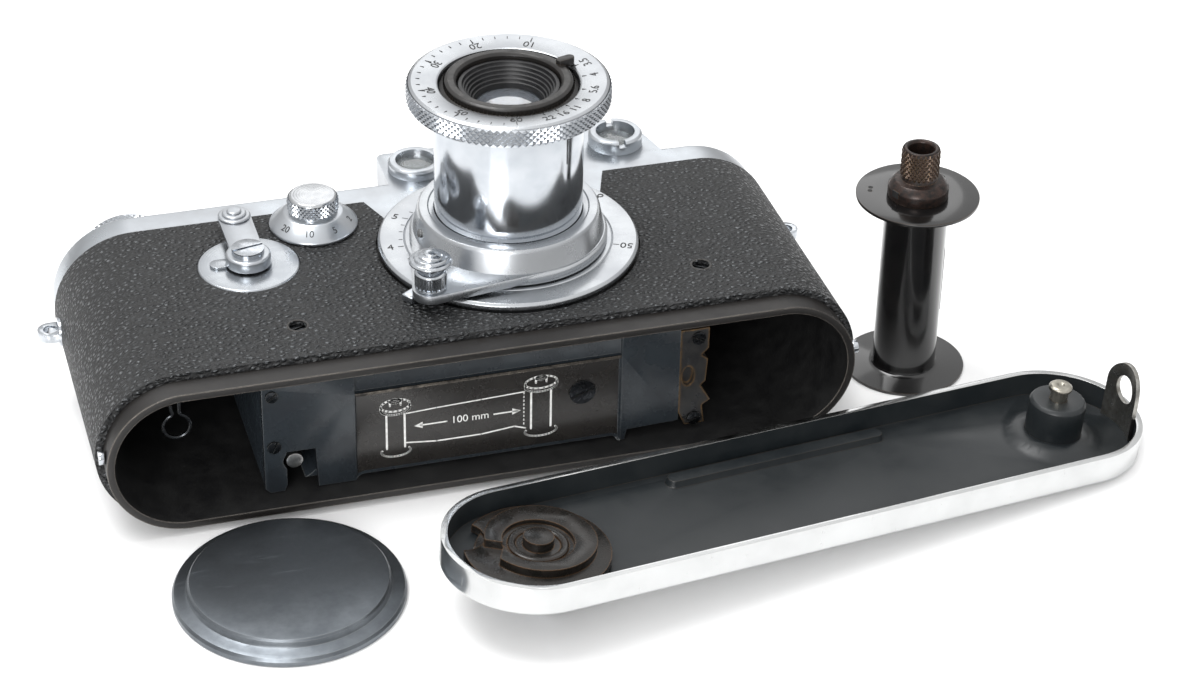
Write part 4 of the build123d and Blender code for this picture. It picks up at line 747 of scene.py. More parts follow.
class BuildDeckControls(bpy.types.Operator):
    """Builds the knobs, dials, button and levers on the deck"""
    bl_idname = "rangefinder.deck"
    bl_label = "Deck Controls"

    def execute(self, context):
        for name, node, joint, body, columns in (
                ("wind_knob", "advance_knob", "film_advance", "advance_drive", 60),
                ("rewind_grip_knob", "rewind_knob", "rewind_spin", "rewind_grip", 56)):
            low, high = span(node)
            centre = spot(joint)
            radius = (high.x - low.x) / 2
            knob = bmesh.new()
            place = upright(centre.x, centre.z)
            join(knob, lathe([(0, low.y), (radius - 0.7, low.y), (radius - 0.35, low.y + 0.5),
                              (radius - 0.35, high.y - 0.7), (radius - 0.9, high.y),
                              (radius - 2.0, high.y), (radius - 2.3, high.y - 0.45),
                              (0, high.y - 0.45)]), place)
            join(knob, knurl(radius, low.y + 0.5, high.y - 0.9, columns, 12, 0.3), place, 1)
            if node == "advance_knob":
                arrow = outline([(-2.2, -0.35), (0.6, -0.35), (0.6, -1.0), (2.2, 0), (0.6, 1.0),
                                 (0.6, 0.35), (-2.2, 0.35)])
                join(knob, raised(arrow, high.y - 0.46, high.y - 0.43, edge=0), place, 2)
            publish(name, knob, [FINISHES["satin"], FINISHES["knurled"], FINISHES["engraving"]],
                    body, [node], smooth=24)
        low, high = span("frame_counter")
        centre = spot("film_advance")
        place = upright(centre.x, centre.z)
        dial = bmesh.new()
        join(dial, lathe([(2.1, low.y), (9.2, low.y), (9.2, low.y + 0.4), (8.4, high.y),
                          (2.1, high.y)]), place)
        for i in range(40):
            tick = bar((7.9 if i % 5 else 7.5, 0), (8.3, 0), 0.12, high.y - 0.01, high.y + 0.02)
            join(dial, tick, place @ Matrix.Rotation(2 * pi * i / 40, 4, "Z"), 1)
        publish("counter_dial", dial, [FINISHES["satin"], FINISHES["engraving"]], "counter",
                ["frame_counter"])
        low, high = span("speed_dial")
        centre = spot("speed_dial_turn")
        place = upright(centre.x, centre.z)
        dial = bmesh.new()
        deck = span("frame_counter")[0].y
        join(dial, lathe([(0, low.y), (1.5, low.y), (1.5, deck), (7.5, deck), (7.5, deck + 1.0),
                          (6.4, deck + 1.0), (6.4, high.y - 0.5), (5.9, high.y), (0, high.y)]),
             place)
        join(dial, knurl(6.6, deck + 1.3, high.y - 0.6, 44, 8, 0.25), place, 1)
        for i, text in enumerate(("30", "40", "60", "100", "200", "500", "1000")):
            join(dial, numeral(text, 1.1, Matrix.Rotation(-2 * pi * i / 9, 4, "Z")
                               @ at(0, 4.9, high.y + 0.01)), place, 2)
        publish("speed_knob", dial, [FINISHES["satin"], FINISHES["knurled"], FINISHES["engraving"]],
                "speed_control", ["speed_dial"], smooth=24)
        low, high = span("release_collar")
        place = upright((low.x + high.x) / 2, (low.z + high.z) / 2)
        collar = bmesh.new()
        join(collar, lathe([(2.3, low.y), (4.2, low.y), (4.2, low.y + 2.2), (3.5, high.y),
                            (2.8, high.y), (2.3, high.y - 0.5)], steps=FINE), place)
        publish("shutter_collar", collar, [FINISHES["satin"]], "camera_body",
                ["release_collar"])
        button = bmesh.new()
        low, high = span("release_button")
        join(button, lathe([(0, low.y), (1.0, low.y), (1.0, high.y - 2.2), (2.2, high.y - 2.2),
                            (2.2, high.y - 0.5), (1.7, high.y), (0.9, high.y), (0, high.y - 0.3)],
                           steps=FINE), place)
        publish("shutter_button", button, [FINISHES["bright"]], "release",
                ["release_button"])
        reissue("rewind_switch_lever", "rewind_lever", "satin", "rewind_switch",
                0.15)
        reissue("diopter_arm", "diopter_lever", "satin", "diopter_control", 0.15)
        return {"FINISHED"}


class BuildFrontControls(bpy.types.Operator):
    """Builds the self-timer and the slow-speed dial on the front"""
    bl_idname = "rangefinder.front"
    bl_label = "Front Controls"

    def execute(self, context):
        low, high = span("timer_disc")
        centre = spot("timer_wind")
        top = 30.2
        plate = bmesh.new()
        place = at(centre.x, centre.y, 0)
        join(plate, lathe([(1.55, low.z), (9.05, low.z), (9.05, top - 0.25), (8.8, top),
                           (1.55, top)], edge=0.08), place)
        tab = hull([(-0.5, 0, 1.4), (0.5, 0, 1.4)], top, top + 0.5, 0.12)
        join(plate, tab, at(centre.x - 4.9, centre.y + 0.6, 0))
        publish("timer_plate", plate, [FINISHES["timer"]], "camera_body",
                ["timer_disc"])
        low, high = span("timer_lever")
        arm_top = span("timer_screw")[0].z
        reach = high.y - 3.0 - centre.y
        lever = bmesh.new()
        join(lever, lathe([(0, low.z), (1.5, low.z), (1.5, top + 0.3), (4.0, top + 0.3),
                           (4.0, arm_top - 0.3), (3.7, arm_top), (0, arm_top)], steps=96), place)
        join(lever, hull([(0, 0.5, 2.9), (0, reach, 2.95)], arm_top - 0.9, arm_top - 0.05, 0.15),
             place)
        for radius, step in ((2.95, 0.0), (2.2, 0.42), (1.35, 0.84)):
            join(lever, lathe([(0, step), (radius, step), (radius, step + 0.25),
                               (radius - 0.25, step + 0.45), (0, step + 0.45)], steps=FINE,
                              edge=0.06), at(centre.x, centre.y + reach, arm_top))
        publish("timer_arm", lever, [FINISHES["satin"]], "timer_control",
                ["timer_lever"])
        low, high = span("timer_screw")
        head = bmesh.new()
        join(head, screw(2.9, low.z, high.z, 0.55, 12, 0.2), place)
        publish("timer_screw_head", head, [FINISHES["bright"]], "timer_control",
                ["timer_screw"])
        low, high = span("slow_dial")
        centre = spot("slow_dial_turn")
        place = at(centre.x, centre.y, 0)
        skirt = bmesh.new()
        join(skirt, lathe([(1.2, low.z), (8.0, low.z), (8.0, low.z + 0.35), (7.8, low.z + 0.6),
                           (5.5, high.z - 0.15), (5.2, high.z), (1.2, high.z)], edge=0.08), place)
        slope = atan2(high.z - 0.15 - low.z - 0.6, 7.8 - 5.5)
        middle = (low.z + 0.6 + high.z - 0.15) / 2
        for i, text in enumerate(("20", "10", "5", "2", "1", "T")):
            lay = on_cone(-150 + 42 * i, 6.65, middle + 0.02, slope)
            join(skirt, numeral(text, 1.25, lay), place, 1)
        publish("slow_dial_skirt", skirt, [FINISHES["satin"], FINISHES["engraving"]],
                "slow_speed_control", ["slow_dial"])
        low, high = span("slow_dial_knob")
        knob = bmesh.new()
        join(knob, lathe([(0, low.z), (1.2, low.z), (1.2, 33.1), (4.4, 33.1), (4.4, high.z - 0.5),
                          (4.0, high.z), (0, high.z)], steps=96), place, 1)
        join(knob, knurl(4.7, 33.35, high.z - 0.35, 34, 6, 0.3), place)
        publish("slow_dial_grip", knob, [FINISHES["knurled"], FINISHES["spun"]],
                "slow_speed_control", ["slow_dial_knob"], smooth=24)
        return {"FINISHED"}


class BuildLensMount(bpy.types.Operator):
    """Builds the lens flange, its distance scale and the focusing ring with its knob"""
    bl_idname = "rangefinder.focus"
    bl_label = "Focus"

    def execute(self, context):
        low, high = span("lens_flange")
        rim = (high.x - low.x) / 2
        face = high.z
        seat = face - 1.2
        flange = bmesh.new()
        join(flange, lathe([(15.65, low.z), (19.3, low.z), (19.3, seat), (rim, seat),
                            (rim, face - 0.45), (rim - 0.45, face), (18.75, face),
                            (18.6, face - 0.2), (18.45, face), (15.65, face)], edge=0.06))
        for angle, text in ((25, "∞"), (121, "6"), (148, "5"), (177, "4"), (-24, "50"),
                            (62, "20"), (86, "12"), (104, "8")):
            join(flange, numeral(text, 1.7 if text != "∞" else 2.0,
                                 ring_at(21.35, angle, face + 0.015, angle + 180)), None, 1)
            join(flange, bar((18.9, 0), (20.0, 0), 0.14, face - 0.01, face + 0.03),
                 about_z(angle), 1)
        for angle in (133, 141, 155, 162, 170, 190, 203):
            join(flange, bar((18.9, 0), (19.6, 0), 0.12, face - 0.01, face + 0.03),
                 about_z(angle), 1)
        publish("mount_flange", flange, [FINISHES["flange"], FINISHES["engraving"]],
                "camera_body", ["lens_flange"])
        reissue("infinity_stop", "infinity_catch", "bright", "camera_body",
                0.2, 3)
        low, high = span("focus_ring")
        cone = bmesh.new()
        join(cone, lathe([(13.3, low.z), (17.7, low.z), (17.7, low.z + 1.35), (17.35, low.z + 1.7),
                          (17.1, low.z + 1.8), (16.35, high.z - 0.7), (15.9, high.z),
                          (14.4, high.z), (14.25, high.z - 0.25), (13.3, high.z - 0.25)],
                         edge=0.08))
        grip_low, grip_high = span("focus_knob")
        grip_x, grip_y = (grip_low.x + grip_high.x) / 2, (grip_low.y + grip_high.y) / 2
        join(cone, hull([(0, 0, 17.3), (grip_x, grip_y, 3.2)], low.z + 0.3, low.z + 1.9, 0.15,
                        bore=14.0))
        join(cone, screw(0.75, 0, 0.3, 0.2, 30, 0.04),
             about_z(187) @ at(16.75, 0, high.z - 2.4)
             @ Matrix.Rotation(radians(78), 4, "Y"), 1)
        publish("focus_cone", cone, [FINISHES["flange"], FINISHES["steel"]], "focus_mount",
                ["focus_ring"])
        grip = bmesh.new()
        place = at(grip_x, grip_y, 0)
        join(grip, uncap(flutes(2.8, grip_low.z + 0.5, grip_high.z - 0.6, 20, 0.28)), place)
        join(grip, lathe([(1.3, grip_low.z), (2.5, grip_low.z), (2.8, grip_low.z + 0.3),
                          (2.8, grip_low.z + 0.6), (1.3, grip_low.z + 0.6)], steps=FINE,
                         edge=0.08), place)
        join(grip, lathe([(1.3, grip_high.z - 0.7), (2.8, grip_high.z - 0.7),
                          (2.8, grip_high.z - 0.35), (2.45, grip_high.z), (1.3, grip_high.z)],
                         steps=FINE, edge=0.08), place)
        publish("focus_grip", grip, [FINISHES["bright"]], "focus_mount",
                ["focus_knob"], smooth=24)
        low, high = span("infinity_button")
        base = high.z - 2.3
        button = bmesh.new()
        profile = [(0, low.z + 0.15), (0.9, low.z + 0.15), (1.15, low.z + 0.5), (1.15, base),
                   (3.3, base), (3.75, base + 0.25),
                   (3.75, base + 0.5), (3.45, base + 0.85), (3.0, base + 0.9), (2.9, base + 1.15),
                   (2.7, base + 1.35), (2.2, base + 1.4), (2.1, base + 1.65), (1.7, base + 1.85),
                   (1.3, base + 1.9), (1.2, base + 2.15), (0.6, base + 2.28), (0, base + 2.3)]
        join(button, lathe(profile, steps=FINE, edge=0.05), place)
        publish("infinity_press_button", button, [FINISHES["bright"]], "infinity_lock",
                ["infinity_button"], smooth=24)
        dress(FINISHES["nickel"], "helicoid_sleeve")
        return {"FINISHED"}


class BuildLens(bpy.types.Operator):
    """Builds the sliding tube, the front ring, the aperture ring and the glass"""
    bl_idname = "rangefinder.lens"
    bl_label = "Lens"

    def execute(self, context):
        low, high = span("lens_tube")
        radius = (high.x - low.x) / 2
        tube = bmesh.new()
        join(tube, lathe([(radius - 1.0, low.z), (radius, low.z), (radius, high.z),
                          (radius - 1.0, high.z)], steps=192, edge=0.1))
        join(tube, bar((0, -0.13), (0, 0.13), 0.04, 51, high.z),
             about_z(-55)
             @ Matrix.Translation(((radius + 0.01) * MM, 0, 0)), 1)
        publish("sliding_tube", tube, [FINISHES["mirror"], FINISHES["engraving"]], "lens_barrel",
                ["lens_tube"])
        low, high = span("front_ring")
        radius = (high.x - low.x) / 2
        ring = bmesh.new()
        join(ring, lathe([(12.4, low.z), (16.6, low.z), (17.2, low.z + 0.15), (17.65, low.z + 0.6),
                          (17.65, high.z - 0.75), (17.5, high.z - 0.25), (17.0, high.z),
                          (16.6, high.z), (12.75, high.z - 0.42), (12.4, high.z - 0.55)],
                         edge=0.06))
        join(ring, knurl(radius, low.z + 0.25, high.z - 0.35, 92, 6, 0.33), None, 1)
        drop, face = 0.42, 3.85         # fall of the ring's face towards the glass, and its width
        slope = atan2(drop, face)
        for angle, text in ((12, "3.5"), (-6, "4"), (-27, "5.6"), (-43, "8"), (-56, "11"),
                            (-67, "16"), (-78, "22")):
            lay = on_cone(angle, 15.1, high.z - drop * 1.5 / face + 0.02, -slope)
            join(ring, numeral(text, 1.55, lay), None, 2)
            join(ring, bar((12.9, 0), (13.7, 0), 0.13, high.z - drop, high.z - 0.30),
                 about_z(angle), 2)
        for i in range(26):
            angle = 60 + 200 * i / 25
            long = 1.3 if i % 5 == 0 else 0.7
            join(ring, bar((16.2 - long, 0), (16.2, 0), 0.13, high.z - 0.12, high.z - 0.02),
                 about_z(angle), 2)
            if i % 5 == 0:
                lay = on_cone(angle, 14.1, high.z - 0.25, -slope)
                join(ring, numeral(str(10 * (i // 5 + 1)), 1.6, lay), None, 2)
        publish("front_rim", ring, [FINISHES["flange"], FINISHES["knurled"], FINISHES["engraving"]],
                "lens_barrel", ["front_ring"], smooth=24)
        low, high = span("aperture_ring")
        control = bmesh.new()
        join(control, lathe([(9.15, low.z), (12.1, low.z), (12.1, low.z + 0.75),
                             (11.3, low.z + 1.0), (11.2, high.z - 1.15), (10.7, high.z - 0.85),
                             (9.6, high.z - 0.85), (9.15, high.z - 1.3)], edge=0.08))
        tab = hull([(-0.9, 0, 0.85), (0.9, 0, 0.85)], high.z - 1.5, high.z, 0.2)
        join(control, tab, ring_at(11.6, 17, 0, 17))
        join(control, uncap(flutes(11.45, low.z + 1.0, high.z - 1.35, 90, 0.12)))
        publish("aperture_control_ring", control, [FINISHES["ring_black"]], "aperture_control",
                ["aperture_ring"])
        low, high = span("lens_cell")
        cell = bmesh.new()
        profile = [(5.1, low.z), (8.0, low.z), (8.0, 57.5), (12.1, 57.5), (12.1, 60.7),
                   (9.0, 60.7), (9.0, 62.0), (8.8, 62.2), (8.2, 62.2)]
        for i in range(5):      # steps that narrow towards the glass
            radius, z = 8.15 - 0.4 * i, 62.0 - 0.62 * i
            profile += [(radius, z), (radius - 0.1, z - 0.45), (radius - 0.38, z - 0.5)]
        profile += [(6.15, 58.9), (6.15, 57.0), (5.5, 57.0), (5.5, 52.6), (5.1, 52.6)]
        join(cell, lathe(profile, edge=0.04))
        publish("lens_head", cell, [FINISHES["anodised"]], "lens_barrel",
                ["lens_cell"], smooth=24)
        glass = bmesh.new()
        curve, rim, crown = 16.1, 6.1, 59.3     # front glass: curvature, edge radius, highest point
        dome = [(0, 57.0), (rim, 57.0), (rim, 58.1)]
        for i in range(1, 9):
            reach = rim * (1 - i / 8)
            dome.append((reach, crown - curve + sqrt(curve ** 2 - reach ** 2)))
        join(glass, lathe(dome, steps=96, edge=0))
        join(glass, lathe([(0, 50.8), (4.95, 50.8), (4.95, 52.4), (0, 52.4)], steps=FINE, edge=0.1))
        publish("lens_elements", glass, [FINISHES["lens_glass"]], "lens_barrel",
                ["lens_glasses"])
        leaves = bmesh.new()
        for i in range(6):
            leaf = hull([(3.9, 0.0, 1.2), (2.5, 3.1, 1.2)], 54.2 + 0.03 * i, 54.22 + 0.03 * i, 0)
            join(leaves, leaf, Matrix.Rotation(2 * pi * i / 6, 4, "Z"))
        publish("iris_leaves", leaves, [FINISHES["anodised"]], "aperture_control",
                ["iris_blades"])
        return {"FINISHED"}


class BuildInside(bpy.types.Operator):
    """Builds the shutter crate's cover plate with its loading diagram and the film path"""
    bl_idname = "rangefinder.inside"
    bl_label = "Inside"

    def execute(self, context):
        reissue("crate_cover", "crate_bottom_plate", "crate", "camera_body", 0.08,
                smooth=28)
        face = span("crate_bottom_plate")[0].y
        below = Matrix.Translation((0, face * MM, 0)) @ Matrix.Rotation(radians(90), 4, "X")
        panel_y = -0.7      # the panel's floor, sunk below the plate
        panel = bmesh.new()
        join(panel, raised(outline([(-34.2, 3.9), (-33.0, 4.3), (11.8, 4.3), (12.9, 3.9),
                                    (12.9, 20.3), (-34.2, 20.3)]), panel_y - 0.02, panel_y + 0.04,
                           edge=0.02), below)
        ridge = raised(outline([(-34.4, 20.4), (13.2, 20.4), (13.2, 21.0), (-34.4, 21.0)]),
                       -0.3, 0.08, edge=0.1)
        join(panel, ridge, below, 1)
        publish("crate_panel", panel, [FINISHES["panel"], FINISHES["steel_edge"]], "camera_body")
        self.diagram(below, panel_y + 0.04)
        heads = bmesh.new()
        # place, radius, turn of the slot, and height above the plate
        for x, z, radius, turn, lift in ((-48.9, 22.9, 1.1, 40, 0), (-48.8, 12.5, 1.2, 65, 0),
                                         (27.3, 22.3, 1.3, -30, 0), (26.9, 5.5, 1.3, 20, 0),
                                         (6.3, 14.1, 2.45, 22, -0.72)):
            join(heads, screw(radius, lift - 0.05, lift + 0.34, 0.32 + radius / 12, turn, 0.08),
                 below @ at(x, z, 0))
        publish("crate_screw_heads", heads, [FINISHES["dark_steel"]], "camera_body",
                ["crate_screws"])
        reissue("cassette_guide", "film_guide", "guide", "camera_body", 0.3, 3)
        reissue("crate_frame", "shutter_crate", "crate", "camera_body", 0.1, 1)
        shaft = bmesh.new()
        low, high = span("sprocket_shaft")
        centre = spot("sprocket_turn")
        place = upright(centre.x, centre.z)
        join(shaft, lathe([(0, low.y), (1.5, low.y), (1.5, -18.5), (3.3, -18.5), (3.3, 18.9),
                           (1.5, 18.9), (1.5, high.y), (0, high.y)], steps=FINE, edge=0.2), place)
        for row in (-14.1, 14.1):
            join(shaft, turned(3.9, row - 0.9, row + 0.9, steps=FINE), place)
            for i in range(8):
                tooth = bmesh.new()
                bmesh.ops.create_cone(tooth, cap_ends=True, segments=4, radius1=0.75 * MM,
                                      radius2=0.3 * MM, depth=0.8 * MM)
                join(shaft, tooth, place @ Matrix.Rotation(2 * pi * i / 8, 4, "Z")
                     @ at(4.1, 0, row) @ Matrix.Rotation(radians(90), 4, "Y"))
        publish("sprocket", shaft, [FINISHES["steel"]], "film_sprocket",
                ["sprocket_shaft"])
        low, high = span("film_spring")
        cx, cy, cz = low.x + 2.75, (low.y + high.y) / 2, low.z + 2.75
        turns = [(cx + 2.4 * sin(a), cy, cz - 2.4 * cos(a))
                 for a in [pi - 0.2 - i * (2 * pi - 0.4) / 11 for i in range(12)]]
        wire = [(cx + 0.6, cy, high.z), (cx + 0.6, cy, cz + 4.2)] + turns + [
            (cx - 0.9, cy, cz + 3.4), (cx - 0.9, cy, cz + 4.4)]
        loop = bmesh.new()
        join(loop, rod(wire, 0.33))
        publish("film_wire", loop, [FINISHES["dark_steel"]], "camera_body",
                ["film_spring"])
        dress(FINISHES["inside"], "pressure_plate")
        dress(FINISHES["steel"], "pressure_springs", "takeup_shaft", "rewind_shaft", "mount_screws")
        dress(FINISHES["nickel"], "shutter_drum", "curtain_roller")
        dress(FINISHES["cloth"], "shutter_curtain")
        dress(FINISHES["flange"], "lens_mount_ring")
        return {"FINISHED"}

    def diagram(self, below, height):
        """Plain loading diagram: a spool, a cassette, the film between them and an arrow."""
        low, high = height, height + 0.04
        ink = bmesh.new()

        def line(points, width=0.36):
            for start, end in zip(points, points[1:]):
                join(ink, bar(start, end, width, low, high), below)
                join(ink, raised(disc(width / 2, 12), low, high, 0), below @ at(end[0], end[1], 0))

        def oval(x, y, rx, ry, start=0, end=360):
            steps = 18
            line([(x + rx * cos(radians(start + (end - start) * i / steps)),
                   y + ry * sin(radians(start + (end - start) * i / steps)))
                  for i in range(steps + 1)])

        for x, foot, top, wide in ((-27.3, 7.4, 17.0, 2.6), (-1.2, 7.2, 17.4, 2.9)):
            core = wide * 0.62
            oval(x, top, wide, 1.25)
            oval(x, top + 0.9, 0.95, 0.4)
            line([(x - 0.95, top + 0.9), (x - 0.95, top)])
            line([(x + 0.95, top + 0.9), (x + 0.95, top)])
            line([(x - wide, top), (x - wide, top - 0.7)])
            line([(x + wide, top), (x + wide, top - 0.7)])
            oval(x, top - 0.7, wide, 1.25, start=180, end=360)
            line([(x - core, top - 1.9), (x - core, foot + 0.7)])
            line([(x + core, top - 1.9), (x + core, foot + 0.7)])
            oval(x, foot, wide, 1.1, start=-205, end=25)
        line([(-25.6, 15.0), (-20, 15.3), (-12, 15.6), (-4.2, 15.9)], 0.22)
        line([(-25.6, 8.9), (-20, 8.3), (-12, 8.3), (-6, 8.9), (-4.0, 8.2)], 0.26)
        for i in range(9):
            line([(-4.3, 9.0 + 0.8 * i), (-4.3, 9.35 + 0.8 * i)], 0.2)
        line([(-23.0, 12.1), (-18.2, 12.1)], 0.26)
        line([(-9.8, 12.1), (-5.4, 12.1)], 0.26)
        for tip, way in ((-24.0, 1), (-4.9, -1)):
            arrow = outline([(tip, 12.1), (tip + way * 1.5, 12.75), (tip + way * 1.5, 11.45)])
            join(ink, raised(arrow, low, high, 0), below)
        join(ink, numeral("100 mm", 1.45, at(-14, 12.15, high)), below)
        publish("loading_diagram", ink, [FINISHES["print"]], "camera_body",
                smooth=30)


def plate_matrix():
    """Place and tilt of the base plate: local X along it, local Z out of its inside."""
    normal = Vector(JOINTS["lock_turn"]["axis"]).normalized()
    across = Vector(JOINTS["key_fold"]["axis"]).normalized()
    along = across.cross(normal).normalized()
    lock = Vector(JOINTS["lock_turn"]["pos_m"]) - normal * LOCK_RISE * MM
    turn = Matrix((along, across, normal)).transposed().to_4x4()
    return Matrix.Translation(lock - along * LOCK_X * MM) @ turn


class BuildBasePlate(bpy.types.Operator):
    """Builds the base plate with its lock, bush, spool pin and hook"""
    bl_idname = "rangefinder.base_plate"
    bl_label = "Base Plate"

    def execute(self, context):
        place = plate_matrix()
        half, inner, rim = 53.0, 13.9, 5.1      # straight half, inside radius, height of the rim
        tray = copied("base_plate", 0.2, 3)
        inward = place.inverted()
        for face in tray.faces:
            centre = inward @ face.calc_center_median() / MM
            normal = inward.to_3x3() @ face.normal
            reach = Vector((max(abs(centre.x) - half, 0), centre.y)).length
            inside = reach < inner and centre.z > 0.1 and (centre.z < rim or normal.z < 0.2)
            face.material_index = 1 if inside else 0
        publish("bottom_plate", tray, [FINISHES["plate"], FINISHES["tray"]], "bottom_cover",
                ["base_plate"])
        bush = bmesh.new()
        join(bush, lathe([(3.97, 0), (5.1, 0), (5.1, 8.4), (4.6, 9.0), (1.4, 9.0), (1.4, 6.0),
                          (3.97, 6.0)], steps=96), place @ at(BUSH_X, 0, 0))
        for i in range(5):
            thread = turned(4.0, 0.6 + i, 1.1 + i, bore=3.85, steps=FINE, edge=0.1)
            join(bush, thread, place @ at(BUSH_X, 0, 0), 1)
        join(bush, lathe([(0, 7.0), (1.4, 7.0), (1.6, 9.0), (1.6, 10.8), (2.1, 11.0),
                          (2.1, 11.6), (1.7, 11.95), (0.7, 12.0), (0.45, 11.7), (0, 11.7)],
                         steps=FINE, edge=0.08), place @ at(BUSH_X, 0, 0), 1)
        publish("bush_and_pin", bush, [FINISHES["tray"], FINISHES["nickel"]], "bottom_cover",
                ["tripod_bush"])
        reissue("hook_ear", "base_hook", "steel_ear", "bottom_cover", 0.15)
        lock = place @ at(LOCK_X, 0, 0)
        cams = copied("lock_disc", 0.15, 2)
        join(cams, lathe([(3.8, 3.38), (5.1, 3.38), (5.1, 3.6), (4.8, 3.8), (4.1, 3.8),
                          (3.8, 3.6)], steps=96, edge=0.05), lock)
        publish("lock_cams", cams, [FINISHES["cam"]], "bottom_lock",
                ["lock_disc"])
        reissue("folding_key", "lock_key", "bright", "lock_handle", 0.25, 3)
        return {"FINISHED"}


class BuildLoosePieces(bpy.types.Operator):
    """Builds the film spool and the lens cap"""
    bl_idname = "rangefinder.loose"
    bl_label = "Spool and Cap"

    def execute(self, context):
        low, high = span("spool")
        x, y = (low.x + high.x) / 2, (low.y + high.y) / 2
        radius, top = (high.x - low.x) / 2, high.z
        place = at(x, y, 0)
        reel = bmesh.new()
        join(reel, lathe([(2.2, 0), (radius, 0), (radius, 0.55), (6.6, 0.6), (5.95, 0.95),
                          (5.8, 1.6), (5.8, top - 1.4), (5.95, top - 0.9), (6.4, top - 0.6),
                          (radius, top - 0.6), (radius, top), (2.2, top)], edge=0.1), place)
        join(reel, block(at(5.55, 0, 19), 0.6, 0.9, 13), place @ about_z(-20), 1)
        for angle in (150, 158):
            join(reel, raised(disc(0.45, 24), top - 0.01, top + 0.02, 0),
                 place @ ring_at(8.6, angle, 0), 1)
        publish("film_reel", reel, [FINISHES["spool"], FINISHES["inside"]], "film_spool",
                ["spool"])
        low, high = span("spool_collar")
        neck = bmesh.new()
        join(neck, lathe([(2.3, low.z), (5.5, low.z), (5.5, low.z + 1.9), (5.1, low.z + 2.5),
                          (4.4, low.z + 3.2), (3.3, low.z + 3.4), (3.3, high.z - 0.4),
                          (3.0, high.z), (2.6, high.z), (2.3, high.z - 0.4)], steps=96,
                         edge=0.1), place)
        join(neck, knurl(3.55, low.z + 3.9, high.z - 0.15, 24, 10, 0.28), place)
        for angle in (20, 200):
            join(neck, block(at(5.2, 0, low.z + 1.6), 0.7, 1.6, 1.2), place @ about_z(angle), 1)
        publish("reel_collar", neck, [FINISHES["collar"], FINISHES["inside"]], "film_spool",
                ["spool_collar"], smooth=24)
        low, high = span("lens_cap")
        x, y = (low.x + high.x) / 2, (low.y + high.y) / 2
        cap = bmesh.new()
        join(cap, lathe([(0, 2.9), (15.9, 2.9), (16.2, 2.5), (16.2, 1.5), (18.85, 1.1),
                         (18.85, 0), (19.4, 0), (19.55, 0.2), (19.55, 1.0), (19.2, 1.55),
                         (18.6, 1.8), (17.6, 1.95), (17.2, 2.15), (16.95, 2.6), (16.9, 3.1),
                         (16.6, 3.45), (16.0, 3.55), (12, 3.58), (0, 3.6)], steps=192, edge=0.0),
             at(x, y, 0))
        publish("push_on_cap", cap, [FINISHES["cap"]], "front_cap", ["lens_cap"],
                smooth=24)
        dress(FINISHES["velvet"], "cap_lining")
        return {"FINISHED"}


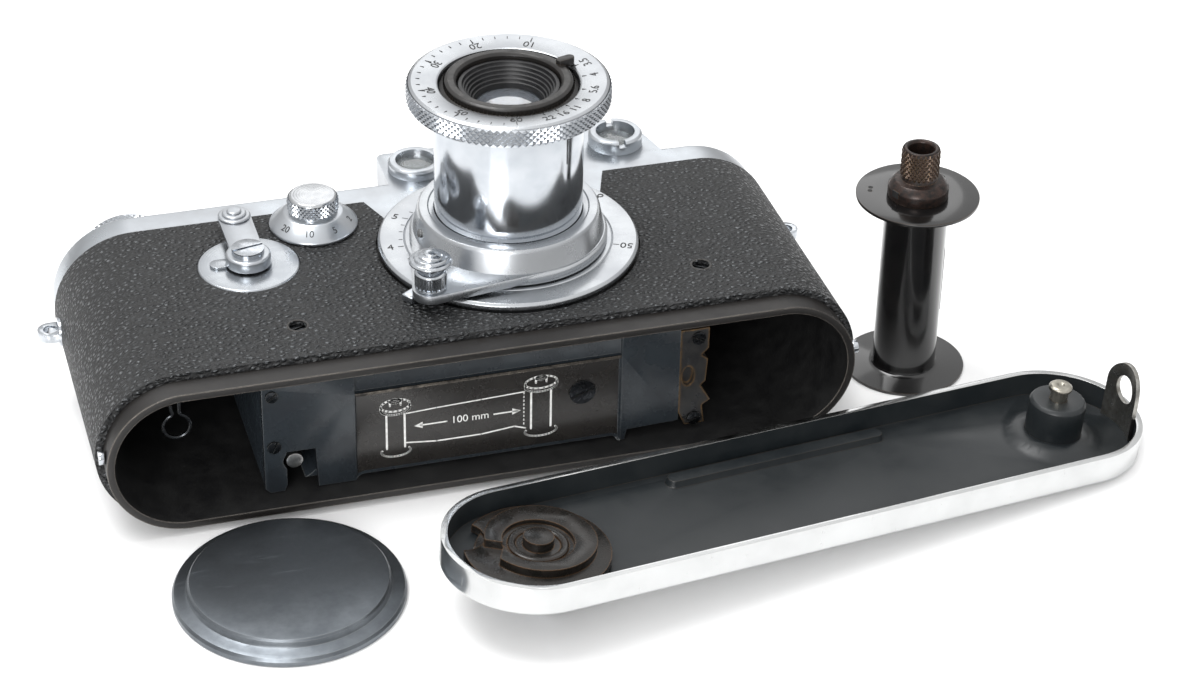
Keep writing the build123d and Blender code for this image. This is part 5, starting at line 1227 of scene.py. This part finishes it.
class BuildStage(bpy.types.Operator):
    """Lays the pale floor, sets the soft lights and the camera"""
    bl_idname = "rangefinder.stage"
    bl_label = "Stage"

    def execute(self, context):
        looks = context.scene.rangefinder_looks
        scene = context.scene
        floor = bmesh.new()
        bmesh.ops.create_grid(floor, x_segments=1, y_segments=1, size=looks.floor_size / 2)
        mesh = bpy.data.meshes.new("floor")
        floor.to_mesh(mesh)
        floor.free()
        ground = bpy.data.objects.new("floor", mesh)
        ground.location.z = -0.02 * MM
        material, tree, shader, coords = blank("pale_glossy_table")
        haze = put(tree, "TexNoise", {"Vector": coords, "Scale": 6.0, "Detail": 2.0})
        pale = put(tree, "Mix", {0: haze.outputs[0], 6: linear("f6f6f6"), 7: linear("fafafa")},
                   data_type="RGBA")
        tree.links.new(pale.outputs[2], shader.inputs["Base Color"])
        shader.inputs["Roughness"].default_value = 0.22
        shader.inputs["Specular IOR Level"].default_value = 0.35
        mesh.materials.append(material)
        scene.collection.objects.link(ground)
        world = bpy.data.worlds.new("studio")
        world.use_nodes = True
        tree = world.node_tree
        tree.nodes.clear()
        way = put(tree, "TexCoord").outputs["Generated"]
        up = put(tree, "SeparateXYZ", {0: way})
        band = put(tree, "MapRange", {0: up.outputs["Z"], 1: -0.05, 2: 0.75, 3: 0.42, 4: 1.12})
        glow = put(tree, "Background", {"Color": (1, 1, 1, 1), "Strength": band.outputs[0]})
        put(tree, "OutputWorld", {"Surface": glow.outputs[0]})
        scene.world = world
        # name, place and side in metres, and power in watts
        for name, place, size, power in (
                ("back_box", (0.35, 1.15, 0.80), 0.7, 1.4),
                ("top_box", (-0.30, 0.15, 1.1), 0.6, 8.0),
                ("front_box", (-0.55, -1.0, 0.55), 0.5, 8.0)):
            light = bpy.data.lights.new(name, "AREA")
            light.shape = "SQUARE"
            light.size = size
            light.energy = power
            lamp = bpy.data.objects.new(name, light)
            lamp.location = place
            aim = Vector((0.0, 0.0, 0.03)) - Vector(place)
            lamp.rotation_euler = aim.to_track_quat("-Z", "Y").to_euler()
            scene.collection.objects.link(lamp)
        # The camera's place in metres, and which way its right, its underside and its view point
        lens = bpy.data.cameras.new("view")
        lens.lens = 93.254
        lens.sensor_width = 36.0
        lens.clip_start = 0.01
        eye = bpy.data.objects.new("view", lens)
        right = Vector((0.95893, -0.28297, 0.01931))
        down = Vector((-0.1394, -0.5295, -0.83678))
        ahead = Vector((0.24701, 0.79972, -0.5472))
        eye.matrix_world = Matrix.Translation((-0.1244, -0.4599, 0.3190)) @ Matrix(
            (right, -down, -ahead)).transposed().to_4x4()
        scene.collection.objects.link(eye)
        scene.camera = eye
        scene.view_settings.view_transform = "Standard"
        return {"FINISHED"}


class RangefinderPanel(bpy.types.Panel):
    """Lists the settings and the operators in the sidebar"""
    bl_idname = "VIEW3D_PT_rangefinder"
    bl_label = "Rangefinder Camera"
    bl_space_type = "VIEW_3D"
    bl_region_type = "UI"
    bl_category = "Rangefinder"

    def draw(self, context):
        looks = context.scene.rangefinder_looks
        for name in RangefinderLooks.__annotations__:
            self.layout.prop(looks, name)
        for operator in OPERATORS:
            self.layout.operator(operator.bl_idname)


OPERATORS = (BuildBody, BuildTop, BuildDeckControls, BuildFrontControls, BuildLensMount, BuildLens,
             BuildInside, BuildBasePlate, BuildLoosePieces, BuildStage)


def register():
    """Adds the classes and the settings to Blender."""
    for kind in (RangefinderLooks, *OPERATORS, RangefinderPanel):
        bpy.utils.register_class(kind)
    bpy.types.Scene.rangefinder_looks = bpy.props.PointerProperty(type=RangefinderLooks)


def unregister():
    """Takes them away again."""
    del bpy.types.Scene.rangefinder_looks
    for kind in reversed((RangefinderLooks, *OPERATORS, RangefinderPanel)):
        bpy.utils.unregister_class(kind)


def main():
    """Builds every piece."""
    register()
    looks = bpy.context.scene.rangefinder_looks
    make_finishes(looks)
    for operator in OPERATORS:
        group, name = operator.bl_idname.split(".")
        getattr(getattr(bpy.ops, group), name)()


if __name__ == "__main__":
    main()
